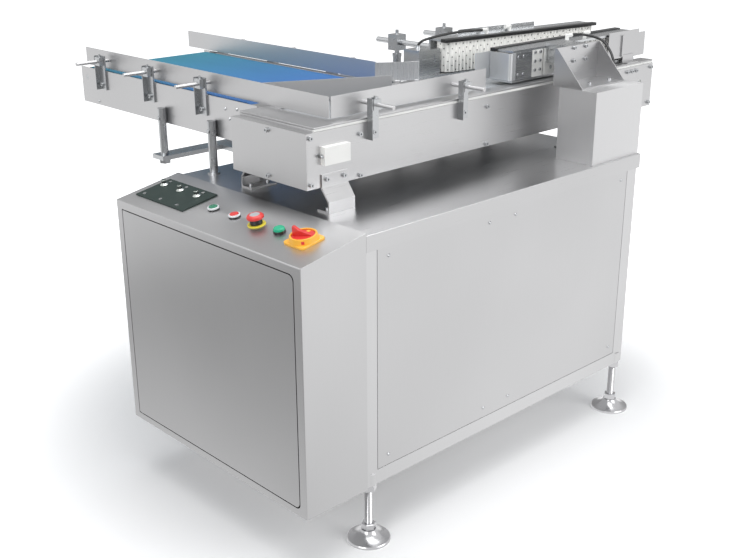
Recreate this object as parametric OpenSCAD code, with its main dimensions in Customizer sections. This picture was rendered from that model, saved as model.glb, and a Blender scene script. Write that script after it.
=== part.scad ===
// Bottle unscrambler: a steel cabinet on four levelling feet, a sloped control console,
// an infeed belt, a main chain conveyor and two side gripper belts that turn and space the bottles.
// Places are measured from the cabinet's front left corner on the floor: X runs along the main
// conveyor, Y runs to the back along the infeed, Z is up. The finished part is then shifted so
// that its origin is the sole of the front left foot.

/* [Cabinet] */
// Length of the deck along the main conveyor
deck_l = 1030; // [960:10:1200]
// Depth of the deck from front to back
deck_d = 700; // [680:10:760]
// Height of the deck's top above the floor
deck_z = 770; // [740:5:800]
// Height of the cabinet's underside above the floor
belly_z = 150; // [130:5:180]
// Height of the deck's turned-down edge
fascia_h = 39; // [30:1:50]
// Overhang of the deck past the cabinet walls
deck_over = 6; // [4:1:12]
// Thickness of the cabinet, console and door sheets
sheet = 2; // [1.5:0.5:3]
// Width of the front and rear access panels
access_w = 942; // [700:1:944]
// Height of the front and rear access panels
access_h = 545; // [400:5:560]

/* [Console] */
// Depth of the console along X
con_l = 184; // [170:2:220]
// Height of the console's low front edge
con_low_z = 742; // [720:2:750]
// Height of the console's high edge beside the deck
con_high_z = 776; // [770:1:790]
// Width of the console door
door_w = 650; // [500:5:670]
// Height of the console door
door_h = 551; // [400:1:560]

/* [Levelling feet] */
// Diameter of a foot's disc
foot_d = 105; // [80:1:120]
// Diameter of a foot's threaded rod
rod_d = 20; // [16:1:24]
// Distance of each foot's centre from the cabinet's walls
foot_inset = 22; // [20:1:40]

/* [Controls] */
// Distance between neighbouring controls on the slope
control_pitch = 81; // [75:1:85]
// Diameter of a push button's bezel
bezel_d = 28.4; // [26:0.2:30]
// Diameter of the emergency stop's head
estop_d = 40; // [34:1:44]
// Side of the main switch's square plate
switch_side = 67; // [60:1:72]
// Length of the speed control plate
speed_plate_l = 200; // [180:1:210]
// Width of the speed control plate
speed_plate_w = 104; // [80:1:108]
// Diameter of a speed knob's skirt
knob_d = 21; // [16:1:26]

/* [Main conveyor] */
// Overall length of the main conveyor's side panels
conv_l = 1363; // [1340:1:1400]
// Width over the two side panels
conv_w = 272; // [264:1:280]
// Height of the side panels
conv_h = 128; // [124:1:132]
// Gap between the deck and the side panels' lower edge
conv_lift = 57; // [50:1:60]
// Width of the table-top chain
chain_w = 186; // [160:2:190]
// Height of the bottle guides
guide_h = 50; // [40:1:52]

/* [Infeed conveyor] */
// Width over the infeed conveyor's two side panels
feed_w = 437; // [420:1:437]
// Length of the infeed conveyor's side panels
feed_l = 830; // [800:5:860]
// Height of the infeed side panels
feed_h = 102; // [96:1:110]
// Width of the blue belt
belt_w = 405; // [380:1:410]
// Diameter of the infeed rollers
roller_d = 50; // [44:1:52]

/* [Gripper belts] */
// Length of the rear gripper unit
rear_l = 590; // [560:5:600]
// Length of the front gripper unit
front_l = 565; // [560:5:580]
// Height of the rear gripper belt
rear_belt_h = 80; // [60:1:84]
// Height of the front gripper belt
front_belt_h = 68; // [60:1:70]
// Angle by which the rear unit closes towards the outfeed, in degrees
rear_angle = 6.95; // [5:0.05:7]
// Width over one gripper belt's loop
loop_w = 60; // [56:1:60]

/* [Hidden] */
$fn = 40;

// Overrun of cuts and the small step between sheets that only touch
cut = 1;
// Gap round moving curved faces, and the running fit of shafts, screws and slides
seat_gap = 0.3;
run_gap = 0.05;

// The cabinet's walls stand inside the deck's edge on three sides
body_x1 = deck_l - deck_over;
body_y0 = deck_over;
body_y1 = deck_d - deck_over;
deck_t = 3;
deck_under = deck_z - deck_t;
panel_gap = 1.5;
frame_lip = 18;
access_x = 38;
access_up = 38;
access_z = belly_z + access_up;
cable_bore_d = 50;
cable_shares = [0.3, 0.7];
cable_ys = [for (share = cable_shares) deck_d * share];
cable_drop = 220;
cable_z = deck_z - cable_drop;

// Levelling feet
foot_h = 28;
foot_rim_h = 7;
foot_hub_d = 36;
foot_hex_h = 16;
foot_hex_d = 32;
foot_nut_d = 36;
foot_nut_h = 16;
foot_rod_up = 60;
foot_boss_d = 38;
foot_boss_h = 30;
feet = [for (y = [foot_inset, deck_d - foot_inset], x = [foot_inset, body_x1 - foot_inset]) [x, y]];

// Fasteners
screw_d = 9;
screw_top_share = 0.6;
screw_head_h = 3;
screw_shank_d = 4;
screw_shank_l = 3;
bolt_d = 11;
bolt_head_h = 6;
bolt_shank_d = 6;
bolt_shank_l = 7;
screw_edge = 26;
access_screw_shares = [0.037, 0.395, 0.498, 0.973];
access_screw_x = [for (share = access_screw_shares) access_x + access_w * share];
access_screw_z = [access_z + screw_edge, access_z + access_h - screw_edge];

// Console and its door
con_x1 = -seat_gap;
con_x0 = con_x1 - con_l;
slope_a = atan((con_high_z - con_low_z) / con_l);
door_gap = 2.5;
door_y0 = (deck_d - door_w) / 2;
door_up = 19;
door_z0 = belly_z + door_up;
door_corner = 14;
door_lip = 18;
pivot_edge = 4;
pivot_edge_lip = 0.5;
pivot_in = 6;
pivot_x = con_x0 + pivot_in;
pivot_y = door_y0 + door_w - pivot_edge;
pivot_d = 6;
pivot_t = 4;
pivot_arm = 8;

// Electrical gear in the console
gear_post_l = 14;
gear_post_d = 12;
gear_x = con_x1 - sheet - gear_post_l;
gear_y0 = 90;
gear_up = 70;
gear_drop = 110;
gear_post_in = 30;
gear_rail_drop = 90;
gear_y1 = deck_d - gear_y0;
gear_z0 = belly_z + gear_up;
gear_z1 = deck_z - gear_drop;
gear_post_ys = [gear_y0 + gear_post_in, gear_y1 - gear_post_in];
gear_post_zs = [gear_z0 + gear_post_in, gear_z1 - gear_post_in];
rail_h = 35;
rail_t = 8;
rail_z = gear_z1 - gear_rail_drop;
drive_w = 90;
drive_h = 160;
drive_deep = 100;
drive_gap = 40;
relay_w = 36;
relay_pitch = 54;
relay_deep = 62;
relay_over = 25;

// Controls along the slope
control_in = 90;
control_x = con_x0 + control_in;
switch_y = 92;
lamp_shift = 2;
lamp_y = switch_y + control_pitch + lamp_shift;
estop_y = lamp_y + control_pitch;
stop_y = estop_y + control_pitch;
start_y = stop_y + control_pitch;
control_ys = [switch_y, lamp_y, estop_y, stop_y, start_y];
neck_d = 22;
neck_bore_d = 22.4;
button_h = 7;
button_tail = 42;
button_nut_d = 30;
button_nut_h = 5;
cap_d = 21;
cap_floor = 1;
cap_travel = 2.5;
cap_up = 1.5;
estop_ring_d = 42.5;
estop_ring_t = 2;
estop_neck_d = 29;
estop_neck_h = 14;
estop_stem_d = 18;
estop_travel = 4;
estop_skirt = 3;
estop_cap_h = 13;
estop_cap_edge = 6;
estop_top_share = 0.7;
lamp_base_h = 6;
lamp_dome_h = 7;
switch_t = 5;
switch_corner = 8;
switch_ring_d = 61;
switch_ring_h = 12;
switch_wall = 4;
switch_shaft_d = 8;
shaft_deep = 20;
dial_h = 3;
grip_w = 9;
grip_h = 27;
grip_turn = 119;
// Outline of the switch's grip, in shares of the dial's radius and of the grip's height
grip_shares = [[-0.85, 0], [-0.5, 0.25], [0.2, 0.55], [0.62, 1], [0.82, 1], [0.9, 0]];

// Speed plate and its knobs
speed_plate_t = 3;
speed_plate_in = 42;
speed_plate_x = con_x0 + speed_plate_in;
speed_plate_off = 58;
speed_plate_y = start_y + speed_plate_off;
speed_screw_in = 13;
knob_pitch = 69.5;
knob_edge = 33;
knob_shift = 10;
knob_x = speed_plate_x + speed_plate_w - knob_edge;
knob_mid_y = speed_plate_y + speed_plate_l / 2 + knob_shift;
knob_ys = [for (i = [0:2]) knob_mid_y + (i - 1) * knob_pitch];
knob_h = 14;
knob_skirt_h = 4;
knob_neck_d = 12;
knob_cap_d = 11;
knob_shaft_d = 6;
knob_tail = 14;
pot_d = 24;
pot_l = 18;

// Main conveyor
conv_x0 = 5;
conv_y0 = 197;
conv_t = 3;
conv_x1 = conv_x0 + conv_l;
conv_y1 = conv_y0 + conv_w;
conv_mid_y = conv_y0 + conv_w / 2;
conv_z0 = deck_z + conv_lift;
conv_z1 = conv_z0 + conv_h;
conv_flange = 22;
strip_h = 6;
strip_w = 36;
plate_t = 4;
top_z = conv_z1 + strip_h + plate_t;
cover_over = 2;
cover_lip = 26;
cover_bolt_in = 11.5;
cover_bolt_edge = 11;
chain_t = 8;
chain_outer_r = 60;
chain_top = top_z - plate_t - cut;
axis_z = chain_top - chain_outer_r;
idler_in = 81;
drive_in = 68;
idler_x = conv_x0 + idler_in;
drive_x = conv_x1 - drive_in;
shaft_d = 20;
shaft_floor = 3;
panel_hole_share = 1.3;
panel_hole_d = shaft_d * panel_hole_share;
sprocket_w = 30;
hinge_pitch = 38.1;
hinge_slot = 1.5;
hinge_deep = 1.2;
rail_out = 60;
rail_w = 20;
takeup_l = 78;
takeup_h = 42;
takeup_t = 14;
hub_w = 60;
hub_t = 12;
spacer_d = 18;
spacer_shares = [0.118, 0.444, 0.763];
spacer_xs = [for (share = spacer_shares) conv_x0 + conv_l * share];
spacer_up = 104;
spacer_z = conv_z0 + spacer_up;
tie_w = 40;
tie_t = 8;
tie_z = conv_z0 + conv_t + tie_t / 2;
end_plate_in = 25;
chain_in = 107;
end_plate_x = conv_x0 + end_plate_in;
chain_start = conv_x0 + chain_in;
gearbox_l = 76;
gearbox_w = 74;
motor_l = 150;
motor_d = 70;

// Legs of the main conveyor
leg_w = 80;
leg_t = 4;
leg_out = 26;
leg_foot = 40;
leg_bend = 30;
leg_bend_z = conv_z0 - leg_bend;
leg_top_z = conv_z0 + leg_bend;
leg_bolt_up = 18;
leg_bolt_z = conv_z0 + leg_bolt_up;
leg_ins = [41, 915];
leg_xs = [for (in = leg_ins) conv_x0 + in];
leg_screw_in = 14;

// Infeed conveyor
feed_x0 = 84;
feed_x1 = feed_x0 + feed_w;
feed_y0 = conv_y1;
feed_y1 = feed_y0 + feed_l;
feed_t = 3;
feed_over = 2;
feed_z1 = top_z + feed_over;
feed_z0 = feed_z1 - feed_h;
belt_t = 2;
belt_top = top_z;
belt_x0 = (feed_x0 + feed_x1 - belt_w) / 2;
roller_z = belt_top - belt_t - roller_d / 2;
roller_shaft_d = 16;
feed_drive_in = 63;
feed_tail_in = 30;
feed_drive_y = conv_y1 + feed_drive_in;
feed_tail_y = feed_y1 - feed_tail_in;
bed_t = 3;
bed_gap = 8;
feed_tie_d = 20;
feed_tie_up = 18;
feed_tie_shares = [0.145, 0.53, 0.843];
feed_tie_ys = [for (share = feed_tie_shares) feed_y0 + feed_l * share];
transfer_y1 = feed_drive_y - roller_d / 2 - belt_t - cut;
angle_leg = 28;
angle_t = 3;
angle_h = 80;
feed_box = 58;
feed_box_w = 56;
feed_motor_l = 112;
feed_motor_d = 56;
// Screws on the infeed's near panel, from its lower corner at the main conveyor
feed_bolts = [[130, 77], [82, 82], [113, 54], [36, 81], [745, 10], [740, 81]];

// Posts and arm under the infeed
post_d = 22;
post_x = feed_x0 - cut - post_d / 2;
far_post_x = feed_x1 + cut + post_d / 2;
post_outs = [176, 401];
post_ups = [42, 32];
post_ys = [for (out = post_outs) conv_y1 + out];
post_top = feed_z0 + post_ups[0];
far_post_top = feed_z0 + post_ups[1];
post_foot_d = 32;
post_foot_h = 5;
post_nut_h = 12;
post_bolt_drop = 26;
arm_w = 50;
arm_t = 12;
arm_reaches = [22, 222];
arm_start = 64;
arm_x0 = post_x - arm_reaches[0];
arm_x1 = post_x + arm_reaches[1];
arm_y1 = post_ys[1] + arm_w / 2;
arm_start_y = deck_d - arm_start;

// Guides and their brackets
guide_t = 2;
guide_up = 5;
guide_z0 = top_z + guide_up;
guide_rod_d = 10;
guide_rod_l = 103;
rod_z = guide_z0 + guide_h / 2;
bracket_w = 32;
bracket_t = 5;
bracket_block = 18;
bracket_block_w = 24;
bracket_drop = 81;
bracket_z0 = rod_z - bracket_drop;
bracket_h = 96;
bracket_bolt_drop = 65;
set_screw_h = 14;
near_in = 22;
near_start = 35.3;
front_in = 34;
guide_seam = 2.3;
front_guide_l = 532;
far_in = 8;
far_start = 35;
far_over = 75;
near_x = feed_x0 + near_in;
near_y0 = conv_y0 + near_start;
near_y1 = feed_y1;
front_y = conv_y0 + front_in;
front_x0 = near_x + guide_seam;
front_x1 = front_x0 + front_guide_l;
far_x = feed_x1 - far_in;
far_y0 = conv_y1 + far_start;
far_y1 = feed_y1 + far_over;
near_rods = [220, 460, 706];
near_rod_ys = [for (rod = near_rods) conv_y1 + rod];
front_rods = [201, 511];
front_rod_xs = [for (rod = front_rods) conv_x0 + rod];
far_rods = [232, 496, 745];
far_rod_ys = [for (rod = far_rods) conv_y1 + rod];
deflector_start = 6;
deflector_reach = [291, 129];
deflector_y0 = conv_y1 + deflector_start;
deflector_end = [near_x + deflector_reach[0], conv_y0 + deflector_reach[1]];
tab_shares = [0.76, 0.96];
tab_t = 4;
turn_points = [[-8, 31], [45, -14], [91, -37]];
turn = [for (place = turn_points) [far_x, conv_y1] + place];

// Gripper belts, in each unit's own frame: u along the belt, v away from the lane
grip_belt_t = 8;
grip_nose_r = loop_w / 2;
grip_up = 3;
base_rim = 12;
grip_z0 = top_z + grip_up;
grip_base_t = 7;
grip_lift = 2;
belt_z0 = grip_z0 + grip_base_t + grip_lift;
grip_top_gap = 1;
axle_d = 12;
grip_core_end = 56;
base_w = loop_w + base_rim;
cover_t = 6;
bar_w = 20;
bar_t = 9;
bar_over = 6;
rear_x = 702;
rear_y = 425;
front_x = 745;
front_face_y = 300;
back_edge = 4;
back_l = 240;
fin_u0 = 90;
fin_u1 = 383;
fin_v = 54;
fin_t = 4;
fin_h = 16;
housing_l = 92;
housing_x0 = rear_x - housing_l;
housing_off = 9;
housing_v = [14, 72];
housing_h = 76;
housing_slot_up = 52;
housing_x1 = rear_x - housing_off;
housing_y0 = rear_y + housing_v[0];
housing_y1 = rear_y + housing_v[1];
housing_top = grip_z0 + housing_h;
housing_edge = 10;
housing_slot_z = grip_z0 + housing_slot_up;
recess = 2;
recess_h = 8;

// Rear unit's rods, clamps and posts
support_rod_d = 16;
support_ins = [10, 206];
support_up = 72;
support_starts = [62, 40];
clamp_in = 75;
collar_drop = 40;
support_xs = [for (in = support_ins) rear_x + in];
support_z = grip_z0 + support_up;
support_rod_y0 = [for (start = support_starts) rear_y + start];
rod_out = 3;
clamp_y = deck_d - clamp_in;
clamp_w = 36;
clamp_h = 44;
stud_d = 14;
stud_deep = 10;
collar_d = 27;
collar_z = support_z - collar_drop;
rear_post_d = 25;
rear_post_foot_d = 70;
rear_post_foot_h = 8;
clamp_screw_d = 10;
clamp_screw_h = 12;

// Stand, its bracket and the front unit's outer plates
stand_w = 210;
stand_d = 118;
stand_h = 192;
stand_x0 = deck_l - stand_w;
stand_x1 = deck_l;
stand_y0 = 10;
stand_y1 = stand_y0 + stand_d;
stand_z1 = deck_z + stand_h;
heavy_t = 4;
gusset_in = 20;
gusset_reach = [71, 22];
gusset_x1 = stand_x1 - gusset_in;
gusset_y0 = stand_y1 - gusset_reach[0];
gusset_y1 = stand_y1 + gusset_reach[1];
gusset_h = 98;
gusset_t = 3;
gusset_bolts = [70, 160];
gusset_bolt_xs = [for (in = gusset_bolts) stand_x0 + in];
gusset_bolt_in = 28;
wall_bolts = [78, 129];
wall_bolt_ups = [58, 92];
wall_bolt_xs = [for (in = wall_bolts) stand_x0 + in];
wall_bolt_zs = [for (up = wall_bolt_ups) stand_z1 + up];
spacer_ins = [62, 146];
spacer_x0 = stand_x0 + spacer_ins[0];
spacer_x1 = stand_x0 + spacer_ins[1];
block_ins = [30, 38];
block_places = [[80, 124], [132, 192]];
block_y0 = conv_y0 + block_ins[0];
block_y1 = conv_y0 + block_ins[1];
block_xs = [for (place = block_places) [front_x + place[0], front_x + place[1]]];
mount_w = 60;
side_t = 6;
side_in = 12;
side_screws = [12, 34];
side_screw_ups = [20, 66];
side_x0 = front_x + side_in;
side_screw_xs = [for (in = side_screws) side_x0 + in];
side_screw_zs = [for (up = side_screw_ups) grip_z0 + up];
front_cover_z = belt_z0 + front_belt_h + grip_top_gap;
guard_out = 10;
lead_out = 65;
guard_x0 = front_x - guard_out;
guard_l = side_x0 - guard_x0;
guard_y0 = block_y0;
guard_y1 = front_face_y + guide_t;
guard_r = 9;
lead_x0 = front_x - lead_out;

// Outfeed guide and its bolts
out_ins = [201, 50, 85, 14];
out_up = 13;
out_x0 = conv_x1 - out_ins[0];
out_x1 = conv_x1 - out_ins[1];
out_x2 = conv_x1 - out_ins[2];
out_x3 = conv_x1 - out_ins[3];
out_z0 = grip_z0 + out_up;
out_h = 77;
out_h2 = 66;
outfeed_in = 24;
out_strip_in = 138;
out_foot_l = 55;
outfeed_bolt_in = 132;
outfeed_bolt_drop = 13;
outfeed_y = conv_y0 + outfeed_in;
out_strip_x = conv_x1 - out_strip_in;
out_strip_w = 8;
out_foot_x0 = out_strip_x + out_strip_w;
out_foot_x1 = out_foot_x0 + out_foot_l;
outfeed_bolt_x = conv_x1 - outfeed_bolt_in;
outfeed_bolt_pitch = 22;
outfeed_bolt_z = conv_z1 - outfeed_bolt_drop;

// Push-in fittings and the two hoses between them and their glands
elbow_d = 11;
elbow_h = 16;
elbow_up = 12;
elbow_l = 20;
gland_d = 14;
gland_h = 8;
hose_d = 7;
hose_sides = 10;
hose_steps = 3;
rear_fitting_xs = [881, 982];
rear_fitting_y = 437;
front_fitting_xs = [1008, 1090];
front_fitting_y = 252;
grommet_in = 10;
grommet_x = stand_x1 - grommet_in;
grommet_y = 96;
rear_route = [[861, 437, 1076], [845, 438, 1077], [800, 446, 1078], [745, 456, 1076], [690, 466, 1070],
    [658, 474, 1063], [648, 480, 1052]];
front_route = [[1028, 252, 1065], [1042, 250, 1065], [1058, 236, 1064], [1064, 205, 1061], [1058, 165, 1052],
    [1040, 125, 1026], [1024, 102, 996], [1020, 96, 970]];

// Shift from the cabinet's corner to the sole of the front left foot
module from_foot() {
    translate([-foot_inset, -foot_inset, 0]) children();
}

// Helpers
module block(lo, hi) {
    translate(lo) cube(hi - lo);
}
module on_front(x, z, y) {
    translate([x, y, z]) rotate([90, 0, 0]) children();
}
module on_back(x, z, y) {
    translate([x, y, z]) rotate([-90, 0, 0]) children();
}
module on_left(x, y, z) {
    translate([x, y, z]) rotate([0, -90, 0]) children();
}
module on_right(x, y, z) {
    translate([x, y, z]) rotate([0, 90, 0]) children();
}
module bore(d, h) {
    translate([0, 0, -cut]) cylinder(h = h + 2 * cut, d = d);
}
module tube(d, inner, h) {
    difference() {
        cylinder(h = h, d = d);
        bore(inner, h);
    }
}
module rounded(w, h, r) {
    translate([r, 0]) square([w - 2 * r, h]);
    translate([0, r]) square([w, h - 2 * r]);
    for (x = [r, w - r], y = [r, h - r]) translate([x, y]) circle(r);
}
// A sheet standing on edge between two plan points
module upright(p, q, t, z0, z1) {
    d = q - p;
    translate([p[0], p[1], z0]) rotate([0, 0, atan2(d[1], d[0])]) cube([norm(d), t, z1 - z0]);
}
// A small domed screw and the bore that its shank runs in
module screw() {
    cylinder(h = screw_head_h, d1 = screw_d, d2 = screw_d * screw_top_share);
    translate([0, 0, -screw_shank_l]) cylinder(h = screw_shank_l + cut, d = screw_shank_d);
}
module screw_bore() {
    translate([0, 0, -screw_shank_l - cut])
        cylinder(h = screw_shank_l + 2 * cut, d = screw_shank_d + 2 * run_gap);
}
// A cap bolt with a hexagon socket in its head, and its bore
module bolt() {
    difference() {
        cylinder(h = bolt_head_h, d = bolt_d);
        translate([0, 0, bolt_head_h / 2]) cylinder(h = bolt_head_h, d = bolt_d / 2, $fn = 6);
    }
    translate([0, 0, -bolt_shank_l]) cylinder(h = bolt_shank_l + cut, d = bolt_shank_d);
}
module bolt_bore() {
    translate([0, 0, -bolt_shank_l - cut])
        cylinder(h = bolt_shank_l + 2 * cut, d = bolt_shank_d + 2 * run_gap);
}
// Places a control on the console's slope, its Z along the slope's outward normal
module on_slope(x, y) {
    translate([x, y, con_low_z + (x - con_x0) * tan(slope_a)]) rotate([0, -slope_a, 0]) children();
}

// Where each group of screws and bolts sits
module access_places() {
    for (x = access_screw_x, z = access_screw_z) {
        on_front(x, z, body_y0) children();
        on_back(x, z, body_y1) children();
    }
}
module leg_deck_places() {
    for (x = leg_xs, s = [leg_screw_in, leg_w - leg_screw_in], y = [-1, 1])
        translate([x + s, conv_mid_y + y * (conv_w / 2 + leg_out - leg_foot / 2), deck_z + leg_t]) children();
}
module leg_panel_places() {
    for (x = leg_xs, s = [leg_screw_in, leg_w - leg_screw_in]) {
        on_front(x + s, leg_bolt_z, conv_y0 - leg_t) children();
        on_back(x + s, leg_bolt_z, conv_y1 + leg_t) children();
    }
}
module panel_bolt_places() {
    for (x = spacer_xs, z = [spacer_z, tie_z]) {
        on_front(x, z, conv_y0) children();
        on_back(x, z, conv_y1) children();
    }
}
module cover_bolt_places() {
    zs = [conv_z0 + cover_bolt_edge, conv_z1 - cover_bolt_edge];
    for (x = [conv_x0 + cover_bolt_in, conv_x1 - cover_bolt_in], z = zs) {
        on_front(x, z, conv_y0) children();
        on_back(x, z, conv_y1) children();
    }
    for (z = zs) on_left(conv_x0, conv_mid_y, z) children();
}
module outfeed_bolt_places() {
    for (i = [0:2]) on_front(outfeed_bolt_x + i * outfeed_bolt_pitch, outfeed_bolt_z, conv_y0) children();
}
module bracket_places() {
    for (x = front_rod_xs) translate([x, conv_y0, 0]) children();
    for (y = near_rod_ys) translate([feed_x0, y, 0]) rotate([0, 0, -90]) children();
    for (y = far_rod_ys) translate([feed_x1, y, 0]) rotate([0, 0, 90]) children();
}
module bracket_bolt_places() {
    bracket_places() on_front(0, rod_z - bracket_bolt_drop, -bracket_t) children();
}
module feed_bolt_places() {
    for (p = feed_bolts) on_left(feed_x0, feed_y0 + p[0], feed_z0 + p[1]) children();
}
module arm_bolt_places() {
    for (y = [arm_start_y + leg_screw_in, deck_d - leg_screw_in])
        translate([arm_x1 - arm_w / 2, y, deck_z + arm_t]) children();
}
module gusset_base_places() {
    for (x = gusset_bolt_xs) translate([x, gusset_y0 + gusset_bolt_in, stand_z1 + heavy_t]) children();
}
module gusset_wall_places() {
    for (x = wall_bolt_xs, z = wall_bolt_zs) on_front(x, z, gusset_y1 - heavy_t) children();
}
module post_bolt_places() {
    for (y = post_ys) on_left(post_x - post_d / 2, y, post_top - post_bolt_drop) children();
    on_right(far_post_x + post_d / 2, post_ys[0], far_post_top - post_bolt_drop / 2) children();
}
module post_bolt() {
    cylinder(h = bolt_head_h / 2, d = bolt_d);
    translate([0, 0, -post_d - cut - feed_t]) cylinder(h = post_d + feed_t + 2 * cut, d = bolt_shank_d);
}
module post_bolt_bore() {
    translate([0, 0, -post_d - 3 * cut - feed_t])
        cylinder(h = post_d + feed_t + 5 * cut, d = bolt_shank_d + 2 * run_gap);
}
module machine_screws() color("silver") {
    access_places() screw();
    leg_deck_places() bolt();
    leg_panel_places() bolt();
    panel_bolt_places() bolt();
    cover_bolt_places() bolt();
    outfeed_bolt_places() bolt();
    bracket_bolt_places() bolt();
    feed_bolt_places() screw();
    arm_bolt_places() bolt();
    gusset_base_places() bolt();
    gusset_wall_places() bolt();
    post_bolt_places() post_bolt();
}

// Cabinet
module cabinet_shell() color("gainsboro") {
    difference() {
        block([0, body_y0, belly_z], [body_x1, body_y1, deck_under]);
        block([sheet, body_y0 + sheet, belly_z + sheet], [body_x1 - sheet, body_y1 - sheet, deck_z]);
        block([access_x - panel_gap, -cut, access_z - panel_gap],
            [access_x + access_w + panel_gap, deck_d + cut, access_z + access_h + panel_gap]);
        for (p = feet) translate([p[0], p[1], belly_z]) bore(rod_d + 2 * run_gap, sheet);
        cable_bores();
    }
    // Return frames that the access panels seat on
    for (y = [body_y0 + sheet, body_y1 - 2 * sheet]) difference() {
        block([access_x - frame_lip, y, access_z - frame_lip],
            [access_x + access_w + frame_lip, y + sheet, access_z + access_h + frame_lip]);
        block([access_x + frame_lip, y - cut, access_z + frame_lip],
            [access_x + access_w - frame_lip, y + sheet + cut, access_z + access_h - frame_lip]);
        access_places() screw_bore();
    }
    // Threaded bosses for the levelling feet
    for (p = feet) translate([p[0], p[1], belly_z]) tube(foot_boss_d, rod_d + 2 * run_gap, foot_boss_h);
}
module cable_bores() {
    for (y = cable_ys) on_left(sheet, y, cable_z) bore(cable_bore_d, 3 * sheet);
}
module deck_plate() color("silver") {
    difference() {
        union() {
            block([0, 0, deck_under], [deck_l, deck_d, deck_z]);
            for (y = [0, deck_d - sheet]) block([0, y, deck_z - fascia_h], [deck_l, y + sheet, deck_z]);
            block([deck_l - sheet, 0, deck_z - fascia_h], [deck_l, deck_d, deck_z]);
        }
        leg_deck_places() bolt_bore();
    }
}
module access_panels() color("lightgray") {
    for (y = [body_y0, body_y1 - sheet]) difference() {
        block([access_x, y, access_z], [access_x + access_w, y + sheet, access_z + access_h]);
        access_places() screw_bore();
    }
}
module levelling_feet() color("silver") {
    for (p = feet) translate([p[0], p[1], 0]) {
        cylinder(h = foot_rim_h, d = foot_d);
        translate([0, 0, foot_rim_h]) cylinder(h = foot_h - foot_rim_h, d1 = foot_d, d2 = foot_hub_d);
        cylinder(h = belly_z + foot_rod_up, d = rod_d);
        translate([0, 0, foot_h]) cylinder(h = foot_hex_h, d = foot_hex_d, $fn = 6);
    }
    for (p = feet) translate([p[0], p[1], belly_z - foot_nut_h]) difference() {
        cylinder(h = foot_nut_h, d = foot_nut_d, $fn = 6);
        bore(rod_d + 2 * run_gap, foot_nut_h);
    }
}

// Console
module console_prism(inset) {
    under = inset / cos(slope_a);
    translate([0, deck_d - inset, 0]) rotate([90, 0, 0]) linear_extrude(deck_d - 2 * inset) polygon([
        [con_x0 + inset, belly_z + inset], [con_x1 - inset, belly_z + inset],
        [con_x1 - inset, con_high_z - inset * tan(slope_a) - under],
        [con_x0 + inset, con_low_z + inset * tan(slope_a) - under]
    ]);
}
// The door's outline: round corners at its free side, square ones where it turns
module door_blank(grow, t) {
    translate([con_x0 + t, door_y0 - grow, door_z0 - grow]) rotate([0, -90, 0])
        linear_extrude(t) {
            rounded(door_h + 2 * grow, door_w + 2 * grow, door_corner);
            translate([0, door_corner])
                square([door_h + 2 * grow, door_w + 2 * grow - door_corner]);
        }
}
module slope_hole(d) {
    translate([0, 0, -3 * sheet]) cylinder(h = 5 * sheet, d = d);
}
module console_box() color("darkgray") {
    difference() {
        console_prism(0);
        console_prism(sheet);
        translate([-cut, 0, 0]) door_blank(door_gap, sheet + 3 * cut);
        for (y = control_ys) on_slope(control_x, y) slope_hole(neck_bore_d);
        for (y = knob_ys) on_slope(knob_x, y) slope_hole(pot_d + 2 * cut);
        cable_bores();
    }
}
module console_door() color("darkgray") {
    lip_y0 = door_y0 + door_corner;
    lip_y1 = door_y0 + door_w - door_corner;
    door_blank(0, sheet);
    for (y = [lip_y0, lip_y1 - sheet]) block([con_x0 + sheet, y, door_z0 + door_corner],
        [con_x0 + door_lip, y + sheet, door_z0 + door_h - door_corner]);
    for (z = [door_z0 + door_corner, door_z0 + door_h - door_corner - pivot_t]) difference() {
        block([con_x0 + sheet, lip_y0, z],
            [con_x0 + door_lip, door_y0 + door_w - pivot_edge_lip, z + pivot_t]);
        translate([pivot_x, pivot_y, z]) bore(pivot_d + 2 * run_gap, pivot_t);
    }
}
// Two brackets inside the console's front, each with the pin that the door turns on
module door_pivots() color("silver") {
    for (top = [0, 1]) {
        edge = top ? door_z0 + door_h + door_gap + cut : door_z0 - door_gap - cut - pivot_t;
        pin_z0 = top ? door_z0 + door_h - door_corner - pivot_t : edge;
        pin_z1 = top ? edge + pivot_t : door_z0 + door_corner + pivot_t;
        block([con_x0 + sheet, pivot_y - pivot_arm, edge],
            [pivot_x + pivot_arm, pivot_y + pivot_arm, edge + pivot_t]);
        translate([pivot_x, pivot_y, pin_z0]) cylinder(h = pin_z1 - pin_z0, d = pivot_d);
    }
}
// Mounting plate with its rail, three drives and the relays, all inside the console
module console_gear() color("gray") {
    plate_x = gear_x - sheet;
    rail_x = plate_x - run_gap - rail_t;
    for (y = gear_post_ys, z = gear_post_zs) on_left(con_x1 - sheet, y, z)
        cylinder(h = gear_post_l - run_gap, d = gear_post_d);
    block([plate_x, gear_y0, gear_z0], [gear_x, gear_y1, gear_z1]);
    block([rail_x, gear_y0 + rail_h, rail_z], [rail_x + rail_t, gear_y1 - rail_h, rail_z + rail_h]);
    for (i = [0:2]) translate([0, gear_y0 + drive_gap + i * (drive_w + drive_gap), gear_z0 + drive_gap])
        block([plate_x - drive_deep, 0, 0], [plate_x - run_gap, drive_w, drive_h]);
    for (i = [0:6]) translate([0, gear_y0 + rail_h + i * relay_pitch, rail_z])
        block([rail_x - relay_deep, 0, -relay_over], [rail_x - run_gap, relay_w, rail_h + relay_over]);
}

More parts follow.
